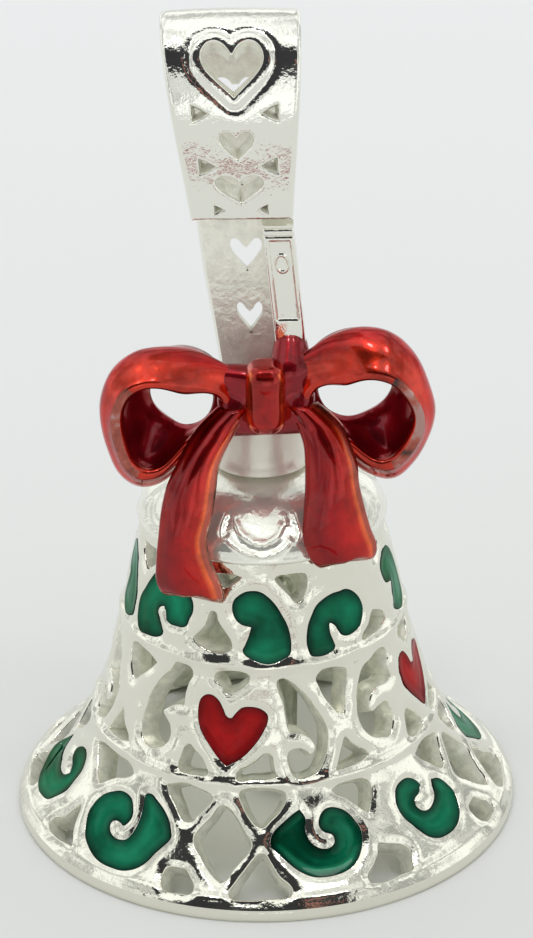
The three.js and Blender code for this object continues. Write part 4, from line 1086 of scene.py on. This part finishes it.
strap_line = respaced(smooth_curve(STRAP_PATH, False, corner=-1, fine=20), 0.05, False)
STRAP_S = np.concatenate([[0], np.cumsum(np.hypot(*np.diff(strap_line[:, :2], axis=0).T))])
along_strap = np.gradient(strap_line[:, :2], STRAP_S, axis=0)
along_strap /= np.linalg.norm(along_strap, axis=1)[:, None]
STRAP_TOP = int(np.argmax(strap_line[:, 1]))


def on_strap(across, s, depth):
    """Points across and along the strap, at a depth under its outer face."""
    y = np.interp(s, STRAP_S, strap_line[:, 0])
    z = np.interp(s, STRAP_S, strap_line[:, 1])
    dy = np.interp(s, STRAP_S, along_strap[:, 0])
    dz = np.interp(s, STRAP_S, along_strap[:, 1])
    return np.stack([bail_centre(z) + across, y + dz * depth, z - dy * depth], 1)


def strap_at(z, side):
    """Distance along the strap of a height on its front or its back."""
    front = np.interp(z, strap_line[:STRAP_TOP, 1], STRAP_S[:STRAP_TOP])
    back = np.interp(-np.asarray(z), -strap_line[STRAP_TOP:, 1], STRAP_S[STRAP_TOP:])
    return front if side < 0 else back


def bezier(a, b, c, d, count=14):
    """Points on a cubic curve, without its last."""
    t = np.linspace(0, 1, count, endpoint=False)[:, None]
    a, b, c, d = (np.array(p, float) for p in (a, b, c, d))
    return (1 - t) ** 3 * a + 3 * t * (1 - t) ** 2 * b + 3 * t**2 * (1 - t) * c + t**3 * d


def heart_loop(z, width, height, side):
    w = width / 2
    p = np.concatenate([
        bezier((0, -0.5 * height), (w * 0.5, -0.2 * height), (w, 0), (w, 0.22 * height)),
        bezier((w, 0.22 * height), (w, 0.55 * height), (w * 0.25, 0.6 * height), (0, 0.25 * height)),
        bezier((0, 0.25 * height), (-w * 0.25, 0.6 * height), (-w, 0.55 * height), (-w, 0.22 * height)),
        bezier((-w, 0.22 * height), (-w, 0), (-w * 0.5, -0.2 * height), (0, -0.5 * height)),
    ])
    return np.stack([p[:, 0], strap_at(z + p[:, 1], side)], 1)


NOTCH = [(-0.42, 0), (0.15, 0.32), (0.38, 0.4), (0.36, 0), (0.38, -0.4), (0.15, -0.32)]


def notch_loop(z, offset, size, side):
    """A small opening that points towards the strap's centreline."""
    way = math.copysign(1, offset)
    p = smooth_curve([(way * size * x, size * y) for x, y in NOTCH], True)
    return np.stack([offset + p[:, 0], strap_at(z + p[:, 1], side)], 1)


STRAP_CROWN = 0.1         # how far the strap's face falls away at its sides
HEART_RIM = 0.55          # distance of the engraved line from the top heart's edge
RIM_HALF = 0.17           # half width of that line
RIM_DEPTH = 0.1
HEART_LIP = 0.25          # distance of the raised lip between the line and the heart
LIP_HALF = 0.2
LIP_LIFT = 0.04
HOLE_STEP = 0.11          # spacing of points round an opening
SIDE_BEVEL = 0.22         # width of the rounding along the strap's sides
# Rings round the strap's sides and down its openings: [distance in, depth].
SIDE_STEPS = [(0.09, 0.13), (0.02, 0.24), (0.0, 0.4), (0.0, 0.75), (0.04, 0.95), (0.16, STRAP)]
HOLE_STEPS = [(0.03, 0.02), (0.07, 0.09), (0.1, 0.2), (0.2, 0.75), (0.18, STRAP)]
HOLE_EDGE_RINGS = 2       # of these, the rings that belong to the bright outside


def make_strap(outside, sides):
    """The pierced strap, cut out flat as [across, along] and bent to its path."""
    widths = strap_line[:, 2] / 2
    right = np.stack([widths, STRAP_S], 1)[2:-2]
    border = respaced(np.concatenate([right, right[::-1] * (-1, 1)]), STRAP_STEP, True)
    holes = [heart_loop(*h) for h in STRAP_HEARTS]
    for z, offset, size in STRAP_NOTCHES:
        for side in (-1, 1):
            holes += [notch_loop(z, offset, size, side), notch_loop(z, -offset, size, side)]
    holes = [respaced(h, HOLE_STEP, True) for h in holes]
    holes = [h if area_2d(h) > 0 else h[::-1] for h in holes]
    border_normal = normals_2d(border)
    hole_normals = [normals_2d(h) for h in holes]
    hole_rooms = [evened(room_inside(h, m)) for h, m in zip(holes, hole_normals)]
    face = border + border_normal * SIDE_BEVEL
    loose = []
    for i, s in enumerate(np.arange(0.1, STRAP_S[-1], STRAP_STEP * ROW_GAP)):
        half = np.interp(s, STRAP_S, widths)
        row = np.arange(-half, half, STRAP_STEP) + 0.5 * STRAP_STEP * (i % 2)
        loose.append(np.stack([row, np.full(len(row), s)], 1))
    loose = np.concatenate(loose)

    def face_grid(loops):
        """Triangles over the strap laid flat, inside the first loop and outside the others."""
        keep = inside(loose, loops[0])
        for h in loops[1:]:
            keep &= ~inside(loose, h)
        keep &= distances(nearest_tree(lifted(np.concatenate(loops))), lifted(loose)) > STRAP_STEP * 0.5

        def in_metal(centres):
            return inside(centres, loops[0]) & ~np.any([inside(centres, h) for h in loops[1:]], axis=0)

        return triangulated(loops, loose[keep], in_metal)

    top_heart = nearest_tree(lifted(holes[0]))

    def carved(p):
        """The engraved line round the top heart, and the strap's slight crown across."""
        half = np.interp(p[:, 1], STRAP_S, widths)
        crown = STRAP_CROWN * (p[:, 0] / half) ** 2
        away = distances(top_heart, lifted(p))
        line = np.exp(-(((away - HEART_RIM) / RIM_HALF) ** 2))
        lip_inside = np.exp(-(((away - HEART_LIP) / LIP_HALF) ** 2))
        return crown + RIM_DEPTH * line - LIP_LIFT * lip_inside

    b = Builder()
    plane, tri, numbers = face_grid([face] + holes)
    top = b.add(on_strap(plane[:, 0], plane[:, 1], carved(plane)))
    b.triangles(top, tri)
    before = top[numbers[0]]
    for inset, depth in SIDE_STEPS:
        q = border + border_normal * inset
        ring = b.add(on_strap(q[:, 0], q[:, 1], depth))
        b.strip(ring, before)
        before = ring
    rim = (q, before)
    lows = []
    for h, m, room, own in zip(holes, hole_normals, hole_rooms, numbers[1:]):
        before = top[own]
        base = carved(h)
        for j, (inset, depth) in enumerate(HOLE_STEPS):
            q = moved_in(h, m, room, inset)
            ring = b.add(on_strap(q[:, 0], q[:, 1], depth + base * (1 - depth / STRAP)))
            b.strip(before, ring, 0 if j < HOLE_EDGE_RINGS else 1)
            before = ring
        lows.append((q, before))
    plane, tri, numbers = face_grid([rim[0]] + [q for q, _ in lows])
    back = b.add(on_strap(plane[:, 0], plane[:, 1], np.full(len(plane), STRAP)))
    for (_, ring), own in zip([rim] + lows, numbers):
        back[own] = ring
    b.triangles(back, tri, 1, flip=True)
    return b.build("bail_strap_fine", [outside, sides], sharp=50)


TONGUE_LOW = (0.75, -1.85, 25.27)     # left front corner at the foot
TONGUE_HIGH = (0.205, -2.8, 31.64)    # left front corner at the top
TONGUE_WIDTH = 1.45
TONGUE_THICK = 0.95
PANEL = (0.16, 0.84, 0.2, 0.87)       # the sunk panel's left, right, bottom and top as shares of the tongue
PANEL_SOFT = (0.012, 0.004)           # how soft its sides and its ends are
CARTOUCHE = (0.5, 0.68, 0.21, 0.075)  # centre across, centre along, half width and half length as shares
OVAL_RIM = 0.95                       # the oval's rim as a share of its size, and half the rim's width
OVAL_RIM_HALF = 0.16
GROOVES = (0.905, 0.965)              # two grooves near the top, as shares along
GROOVE_HALF = 0.009
PANEL_DEPTH = 0.12
RIM_LIFT = 0.1
GROOVE_DEPTH = 0.09
# Rounding of its long edges: [share across, depth].
TONGUE_EDGE = [(0.0, 0.2), (0.012, 0.1), (0.04, 0.035), (0.09, 0.0)]
TONGUE_FACE = (0.13, 0.87, 30)        # the flat of the face as shares across, and the points over it
TONGUE_RINGS = 220


def step_up(x, at, soft):
    """Rises from 0 to 1 where x passes a place."""
    return 1 / (1 + np.exp(-(x - at) / soft))


def tongue_relief(u, v):
    """Depth of the tongue's face: a sunk panel, the rim of a plain oval on it, and the grooves."""
    left, right, bottom, top = PANEL
    soft_u, soft_v = PANEL_SOFT
    panel = step_up(u, left, soft_u) * step_up(-u, -right, soft_u)
    panel *= step_up(v, bottom, soft_v) * step_up(-v, -top, soft_v)
    middle_u, middle_v, half_u, half_v = CARTOUCHE
    oval = np.hypot((u - middle_u) / half_u, (v - middle_v) / half_v)
    rim = np.exp(-(((oval - OVAL_RIM) / OVAL_RIM_HALF) ** 2))
    grooves = sum(np.exp(-(((v - at) / GROOVE_HALF) ** 2)) for at in GROOVES)
    return panel * (PANEL_DEPTH - RIM_LIFT * rim) + GROOVE_DEPTH * grooves


def make_tongue(outside):
    low, high = np.array(TONGUE_LOW), np.array(TONGUE_HIGH)
    along = high - low
    inward = np.cross(along, (1, 0, 0))
    inward /= np.linalg.norm(inward)
    flat = [(u, 0.0) for u in np.linspace(*TONGUE_FACE)]
    front = TONGUE_EDGE + flat + [(1 - a, d) for a, d in TONGUE_EDGE[::-1]]
    back = [(1 - a, TONGUE_THICK - d) for a, d in TONGUE_EDGE[:3]]
    back += [(a, TONGUE_THICK - d) for a, d in TONGUE_EDGE[:3][::-1]]
    u, d = np.array(front + back).T
    face = np.arange(len(u)) < len(front)
    rings = []
    for v in np.linspace(0, 1, TONGUE_RINGS):
        depth = d + np.where(face, tongue_relief(u, np.full(len(u), v)), 0)
        rings.append(low + along * v + np.outer(u * TONGUE_WIDTH, (1, 0, 0)) + np.outer(depth, inward))
    return lofted("tongue_panelled", rings, False, [outside])


# ---- Clapper ------------------------------------------------------------------------------------

HANG_X = 0.4              # the clapper hangs a little right of the bell's axis
WIRE = 0.3
STAPLE_HALF = 0.8         # half width of the staple
STAPLE_PIVOT = 15.1       # lowest point of the staple's wire
LINK_RADIUS = 1.15
LINK_Z = 14.61
EYE_RADIUS = 0.95
EYE_Z = 13.17
ROD_PROFILE = [
    (0, 3.3), (0.5, 3.3), (0.86, 3.34), (1.08, 3.46), (1.17, 3.64), (1.19, 3.9), (1.19, 7.6), (1.172, 9.6),
    (1.13, 11.25), (1.0, 11.65), (0.75, 11.9), (0.45, 12.0), (0, 12.1),
]


def ring_path(radius, z, upright, count=64):
    """A circle about the hanging line: across the bell, or from front to back where upright is
    true."""
    t = np.arange(count) * 2 * math.pi / count
    wide, high = radius * np.cos(t), z + radius * np.sin(t)
    if upright:
        return np.stack([np.full(count, HANG_X), wide, high], 1)
    return np.stack([HANG_X + wide, np.zeros(count), high], 1)


def staple_path():
    """A U that hangs from the cap: a leg down, half a circle, and a leg up."""
    top = STAPLE_PIVOT + STAPLE_HALF
    t = np.linspace(0, math.pi, 28)
    arc = np.stack([HANG_X - STAPLE_HALF * np.cos(t), np.zeros(28), top - STAPLE_HALF * np.sin(t)], 1)
    leg = np.linspace(1.15, 0.1, 8)
    left = np.stack([np.full(8, HANG_X - STAPLE_HALF), np.zeros(8), top + leg], 1)
    right = np.stack([np.full(8, HANG_X + STAPLE_HALF), np.zeros(8), top + leg[::-1]], 1)
    return np.concatenate([left, arc, right])


def make_clapper(satin):
    profile = respaced(smooth_curve(ROD_PROFILE, False, corner=-1, fine=8), 0.12, False)
    profile[0][0] = profile[-1][0] = 0
    rod = turned("clapper_rod", [tuple(p) for p in profile], 72, [satin], x=HANG_X)
    eye = lofted("clapper_eye", wire_rings(ring_path(EYE_RADIUS, EYE_Z, False), WIRE, True), True, [satin])
    return rod, eye


# ---- Materials ----------------------------------------------------------------------------------


def material(name, colour, metallic, roughness, coat=0.0):
    """A new material, with its nodes, links and shader."""
    m = bpy.data.materials.new(name)
    m.use_nodes = True
    shader = m.node_tree.nodes["Principled BSDF"]
    shader.inputs["Base Color"].default_value = (*colour, 1)
    shader.inputs["Metallic"].default_value = metallic
    shader.inputs["Roughness"].default_value = roughness
    shader.inputs["Coat Weight"].default_value = coat
    shader.inputs["Coat Roughness"].default_value = 0.03
    shader.inputs["Coat IOR"].default_value = 1.3
    return m, m.node_tree.nodes, m.node_tree.links, shader


def noise(nodes, links, scale, detail=3.0, roughness=0.55):
    """Noise fixed to the object. scale is in waves per metre."""
    where = nodes.new("ShaderNodeTexCoord")
    texture = nodes.new("ShaderNodeTexNoise")
    texture.inputs["Scale"].default_value = scale
    texture.inputs["Detail"].default_value = detail
    texture.inputs["Roughness"].default_value = roughness
    links.new(where.outputs["Object"], texture.inputs["Vector"])
    return texture.outputs["Fac"]


def ramp(nodes, links, value, stops):
    node = nodes.new("ShaderNodeValToRGB")
    links.new(value, node.inputs["Fac"])
    bar = node.color_ramp
    while len(bar.elements) < len(stops):
        bar.elements.new(0.5)
    for element, (at, colour) in zip(bar.elements, stops):
        element.position = at
        element.color = (*colour, 1) if len(colour) == 3 else colour
    return node.outputs["Color"]


def grey(v):
    return (v, v, v)


def bump(nodes, links, shader, height, strength, distance):
    node = nodes.new("ShaderNodeBump")
    node.inputs["Strength"].default_value = strength
    node.inputs["Distance"].default_value = distance
    links.new(height, node.inputs["Height"])
    links.new(node.outputs["Normal"], shader.inputs["Normal"])


def times(nodes, links, a, b):
    """The product of two colours."""
    node = nodes.new("ShaderNodeMix")
    node.data_type = "RGBA"
    node.blend_type = "MULTIPLY"
    node.inputs[0].default_value = 1.0
    links.new(a, node.inputs[6])
    links.new(b, node.inputs[7])
    return node.outputs[2]


def edge_value(nodes):
    """The number that each point of a mesh carries."""
    node = nodes.new("ShaderNodeAttribute")
    node.attribute_name = "edge"
    return node.outputs["Fac"]


def polished(name, colour, low, high, waves, metallic=1.0):
    """Silver with patches of roughness between low and high, and a skin with waves this high in
    metres."""
    m, nodes, links, shader = material(name, colour, metallic, low)
    links.new(ramp(nodes, links, noise(nodes, links, 700), [(0.35, grey(low)), (0.75, grey(high))]),
              shader.inputs["Roughness"])
    bump(nodes, links, shader, noise(nodes, links, 620, 5.0, 0.62), 0.7, waves)
    return m


def cast(name, colour, roughness, depth, metallic=1.0, shade=0.72):
    """Silver as it comes from the mould: pitted this deep in metres, and darker by shade in
    patches."""
    m, nodes, links, shader = material(name, colour, metallic, roughness)
    dark = tuple(c * shade for c in colour)
    links.new(ramp(nodes, links, noise(nodes, links, 1500, 5.0, 0.65), [(0.35, dark), (0.62, colour)]),
              shader.inputs["Base Color"])
    bump(nodes, links, shader, noise(nodes, links, 2600, 4.0, 0.6), 0.7, depth)
    return m


PATCHES = ((0.3, grey(0.5)), (0.52, grey(1.0)), (0.78, grey(1.5)))
WORN_PATCHES = ((0.38, (0.12, 0.3, 0.35)), (0.45, grey(0.6)), (0.56, grey(1.0)), (0.62, (1.1, 2.6, 3.4)))


def glaze(name, rim, body, light, at_edge):
    """Translucent enamel over bright metal: a tinted metal under a smooth clear coat, darker near the
    cell's side, where painted shade falls from the side and the glaze also lies deeper. rim, body and light
    are its colours from the side inwards."""
    m, nodes, links, shader = material(name, body, 1.0, 0.3, 0.5)
    shader.inputs["Specular Tint"].default_value = (*at_edge, 1)
    # Painted shade: the glaze's colour darkens towards the cell's side.
    depth = ramp(nodes, links, edge_value(nodes), [(0.0, rim), (0.35, body), (1.0, light)])
    patches = ramp(nodes, links, noise(nodes, links, 420),
                   [(0.32, grey(0.5)), (0.5, grey(1.0)), (0.72, grey(1.5))])
    links.new(times(nodes, links, depth, patches), shader.inputs["Base Color"])
    bump(nodes, links, shader, noise(nodes, links, 900), 0.35, 0.00004)
    return m


def ribbon_glaze(name, stops, metallic=1.0, patches=PATCHES):
    """Red enamel over the bow's hammered metal, coloured by the way across the ribbon, under a smooth coat.
    The colour across the ribbon carries painted glints and shade."""
    m, nodes, links, shader = material(name, stops[0][1], metallic, 0.26, 0.9)
    shader.inputs["Specular Tint"].default_value = (0.8, 0.3, 0.3, 1)
    shader.inputs["Coat IOR"].default_value = 1.4
    across = ramp(nodes, links, edge_value(nodes), stops)
    patch = ramp(nodes, links, noise(nodes, links, 560, 6.0, 0.68), patches)
    links.new(times(nodes, links, across, patch), shader.inputs["Base Color"])
    bump(nodes, links, shader, noise(nodes, links, 1100), 0.4, 0.00005)
    return m


silver = polished("polished_silver", (0.83, 0.82, 0.725), 0.04, 0.12, 0.00009)
# The window and cell sides: cast silver, lighter than the outside silver as painted light on these bright
# sides.
walls = cast("cast_window_walls_painted_light", (0.92, 0.92, 0.82), 0.3, 0.00006, 0.5)
# The wall's inside: a pale diffuse copy of the silver, tinted green as a painted reflection of the green
# enamel.
satin = cast("satin_inside_painted_reflection", (0.9, 0.92, 0.78), 0.5, 0.00004, 0.0)
frosted = polished("frosted_silver", (0.9, 0.9, 0.82), 0.12, 0.26, 0.0001, 0.7)
neck_satin = polished("neck_satin", (0.95, 0.93, 0.83), 0.3, 0.45, 0.00012, 0.4)
bail_silver = polished("bail_polished", (0.89, 0.885, 0.82), 0.04, 0.12, 0.0001)
bail_inside = cast("bail_inside", (0.94, 0.93, 0.84), 0.3, 0.00012, 0.45, 0.85)
clapper_satin = cast("clapper_cast", (0.62, 0.64, 0.54), 0.35, 0.00004)
green = glaze("green_glaze", (0.002, 0.035, 0.022), (0.004, 0.14, 0.068), (0.006, 0.22, 0.11),
              (0.1, 0.6, 0.42))
red = glaze("red_glaze", (0.15, 0.003, 0.005), (0.3, 0.005, 0.006), (0.4, 0.007, 0.008),
            (0.8, 0.2, 0.2))
# Painted glint: brighter and more orange near the loops' front edge, darker towards their back edge.
bow_red = ribbon_glaze("bow_glaze", [
    (0.0, (0.55, 0.03, 0.012)), (0.15, (0.6, 0.035, 0.014)), (0.45, (0.46, 0.007, 0.009)),
    (1.0, (0.3, 0.004, 0.009)),
])
# Painted shade down each tail's left side and a painted orange glint near its right edge.
tail_red = ribbon_glaze("tail_glaze", [
    (0.0, (0.28, 0.01, 0.008)), (0.15, (0.23, 0.003, 0.006)), (0.5, (0.36, 0.006, 0.007)),
    (0.86, (0.5, 0.016, 0.009)), (0.95, (0.85, 0.14, 0.04)), (1.0, (0.45, 0.09, 0.06)),
])
bow_inside = ribbon_glaze("bow_inside_glaze", [(0.0, (0.36, 0.008, 0.018)), (1.0, (0.3, 0.006, 0.016))],
                          0.7)
saddle_red = ribbon_glaze("saddle_glaze", [(0.0, (0.26, 0.004, 0.01)), (1.0, (0.26, 0.004, 0.01))], 0.8)
# Painted glint: the knot turns orange towards its left and right faces and stays darker in the middle.
bow_knot = ribbon_glaze("knot_glaze", [
    (0.0, (0.42, 0.012, 0.01)), (0.4, (0.5, 0.03, 0.015)), (1.0, (0.85, 0.17, 0.05)),
])
bow_edge = ribbon_glaze("bow_worn_edges", [(0.0, (0.42, 0.1, 0.07)), (1.0, (0.5, 0.16, 0.1))], 1.0,
                        WORN_PATCHES)


# ---- Pieces in place ----------------------------------------------------------------------------


def place(obj, body, slot, *nodes):
    """Gives a piece its body and hides the CAD nodes it replaces; its slot is not used."""
    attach(obj, body)
    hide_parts(*nodes)


TINTS = {"heart": red, "skirt": green, "upper": green}
CELL_SLOTS = {"heart": "heart_enamel", "skirt": "scroll_enamel", "upper": "leaf_enamel"}

place(make_wall(silver, walls, satin), "bell", "bell_silver", "bell_wall")
for cell_name, cell_outline, cell_angle in all_cells():
    tier = cell_name.split("_")[0]
    enamel = make_enamel(cell_name, cell_outline, cell_angle, TINTS[tier])
    place(enamel, "bell", CELL_SLOTS[tier], cell_name)
place(make_cap(frosted), "bell", "bell_silver", "cap")
place(make_neck(neck_satin), "bell", "bell_silver", "neck")

for side_name, stations, centre, back_oval, side in (
    ("left", LEFT_LOOP, LEFT_CENTRE, LEFT_BACK, -1),
    ("right", RIGHT_LOOP, RIGHT_CENTRE, RIGHT_BACK, 1),
):
    rings, worn = loop_sections(stations, centre, back_oval, side)
    loop = lofted(f"{side_name}_loop_ribbon", rings, True, [bow_red, bow_edge, bow_inside],
                  lambda i, j: ribbon_zone(j, worn[i]), None, ACROSS)
    place(loop, "bell", "bow_enamel", f"bow_{side_name}_loop")
for side_name, stations in (("left", LEFT_TAIL), ("right", RIGHT_TAIL)):
    rings = tail_rings(stations)
    tail = lofted(f"{side_name}_tail_ribbon", rings, False, [tail_red, bow_edge],
                  lambda i, j: tail_zone(i, j, len(rings)), None, ACROSS)
    place(tail, "bell", "bow_enamel", f"bow_{side_name}_tail")
place(pillow("knot_pillow", *KNOT, [bow_knot]), "bell", "bow_enamel", "bow_knot")
place(melted("saddle_mass", SADDLE_RUNS, [saddle_red]), "bell", "bow_enamel", "bow_saddle")

place(make_strap(bail_silver, bail_inside), "bell", "bail_silver", "bail_strap")
place(make_tongue(bail_silver), "bell", "bail_silver", "bail_tongue")

staple = lofted("staple_wire", wire_rings(staple_path(), WIRE, False), False, [clapper_satin])
place(staple, "bell", "bell_silver", "clapper_staple")
link_circle = ring_path(LINK_RADIUS, LINK_Z, True)
link = lofted("link_wire", wire_rings(link_circle, WIRE, True), True, [clapper_satin])
place(link, "clapper_link", "clapper_silver", "clapper_link")
for clapper_part in make_clapper(clapper_satin):
    place(clapper_part, "clapper", "clapper_silver", "clapper")


# ---- Stage, light and camera --------------------------------------------------------------------

AIM = Vector((0, 0, 0.02))            # the point that lamps and camera turn about
CARD_AIM = Vector((0, 0, 0.01))


def around(azimuth, elevation, distance):
    """A point seen from the bell at an azimuth (0 in front, to the right positive) and elevation,
    in degrees."""
    a, e = math.radians(azimuth), math.radians(elevation)
    out = Vector((math.cos(e) * math.sin(a), -math.cos(e) * math.cos(a), math.sin(e)))
    return AIM + distance * out


def facing(place_at, aim):
    return (Vector(aim) - Vector(place_at)).to_track_quat("-Z", "Y").to_euler()


def card(name, centre, aim, width, height, colour):
    """A flat coloured card that shows only in reflections, as things round the table do."""
    bpy.ops.mesh.primitive_plane_add(size=1)
    obj = bpy.context.object
    obj.name = name
    obj.scale = (width, height, 1)
    obj.location = centre
    obj.rotation_euler = facing(centre, aim)
    obj.data.materials.append(material(name, colour, 0.0, 1.0)[0])
    obj.visible_camera = False
    obj.visible_shadow = False
    obj.visible_diffuse = False


def disk_lamp(name, centre, aim, size, power, colour=(1.0, 1.0, 1.0), spread=180):
    lamp = bpy.data.lights.new(name, "AREA")
    lamp.shape = "DISK"
    lamp.size = size
    lamp.energy = power
    lamp.color = colour
    lamp.spread = math.radians(spread)
    obj = bpy.data.objects.new(name, lamp)
    obj.location = centre
    obj.rotation_euler = facing(centre, aim)
    bpy.context.scene.collection.objects.link(obj)


# Painted shade on the floor: it darkens from its far tone to its near tone between these.
FLOOR_NEAR, FLOOR_FAR = -0.03, 0.12   # the floor turns from its near tone to its far tone between these
FLOOR_SHADE_TONES = [(0.0, (0.78, 0.78, 0.775)), (1.0, (0.87, 0.87, 0.89))]


def make_floor():
    """A pale tabletop with painted shade that makes it a little greyer towards the viewer."""
    bpy.ops.mesh.primitive_plane_add(size=4)
    floor = bpy.context.object
    floor.name = "floor"
    m, nodes, links, shader = material("floor_white", FLOOR_SHADE_TONES[1][1], 0.0, 0.9)
    shader.inputs["Specular IOR Level"].default_value = 0.0
    where = nodes.new("ShaderNodeTexCoord")
    split = nodes.new("ShaderNodeSeparateXYZ")
    span = nodes.new("ShaderNodeMapRange")
    span.inputs["From Min"].default_value = FLOOR_NEAR
    span.inputs["From Max"].default_value = FLOOR_FAR
    links.new(where.outputs["Object"], split.inputs[0])
    links.new(split.outputs["Y"], span.inputs["Value"])
    # Painted shade: the floor's colour darkens towards the viewer.
    links.new(ramp(nodes, links, span.outputs["Result"], FLOOR_SHADE_TONES), shader.inputs["Base Color"])
    floor.data.materials.append(m)


SKY_TONES = [(0.36, (0.5, 0.51, 0.5)), (0.6, (1.3, 1.33, 1.3))]


def make_sky():
    """A pale room with broad lighter and darker patches, which give the silver something to
    reflect."""
    world = bpy.data.worlds.new("studio")
    bpy.context.scene.world = world
    world.use_nodes = True
    nodes, links = world.node_tree.nodes, world.node_tree.links
    where = nodes.new("ShaderNodeTexCoord")
    patches = nodes.new("ShaderNodeTexNoise")
    patches.inputs["Scale"].default_value = 3.5
    patches.inputs["Detail"].default_value = 2.0
    links.new(where.outputs["Generated"], patches.inputs["Vector"])
    links.new(ramp(nodes, links, patches.outputs["Fac"], SKY_TONES), nodes["Background"].inputs["Color"])
    nodes["Background"].inputs["Strength"].default_value = 0.91


def set_camera(distance, elevation, pan, tilt, roll, lens):
    """A camera in front of the bell, turned off its middle by small angles in degrees."""
    data = bpy.data.cameras.new("camera")
    data.sensor_width = 36
    data.lens = lens
    data.clip_start = 0.01
    data.clip_end = 20
    camera = bpy.data.objects.new("camera", data)
    camera.matrix_world = (
        Matrix.Translation(around(0, elevation, distance))
        @ Matrix.Rotation(math.radians(pan), 4, "Z")
        @ Matrix.Rotation(math.radians(90 - elevation - tilt), 4, "X")
        @ Matrix.Rotation(math.radians(roll), 4, "Z")
    )
    bpy.context.scene.collection.objects.link(camera)
    bpy.context.scene.camera = camera


make_floor()
make_sky()
disk_lamp("key", around(-32, 70, 0.9), AIM, 0.11, 0.5)
disk_lamp("fill", around(48, 66, 1.0), AIM, 0.13, 0.35)
disk_lamp("glow_under_cap", (0, 0, 0.0146), (0, 0, 0), 0.008, 0.00028, (1.0, 1.0, 0.88), 110)
card("dark_subject", around(-7, 46, 0.5), CARD_AIM, 0.76, 0.3, (0.035, 0.035, 0.04))
card("red_subject", (0, -0.073, 0.001), (0, -0.073, 0.1), 0.04, 0.01, (0.34, 0.1, 0.1))
card("warm_subject", around(22, 38, 0.45), CARD_AIM, 0.09, 0.06, (0.42, 0.2, 0.16))
set_camera(distance=0.18, elevation=25.4, pan=-0.089, tilt=0.61, roll=-0.862, lens=144.04)
bpy.context.scene.view_settings.view_transform = "Standard"
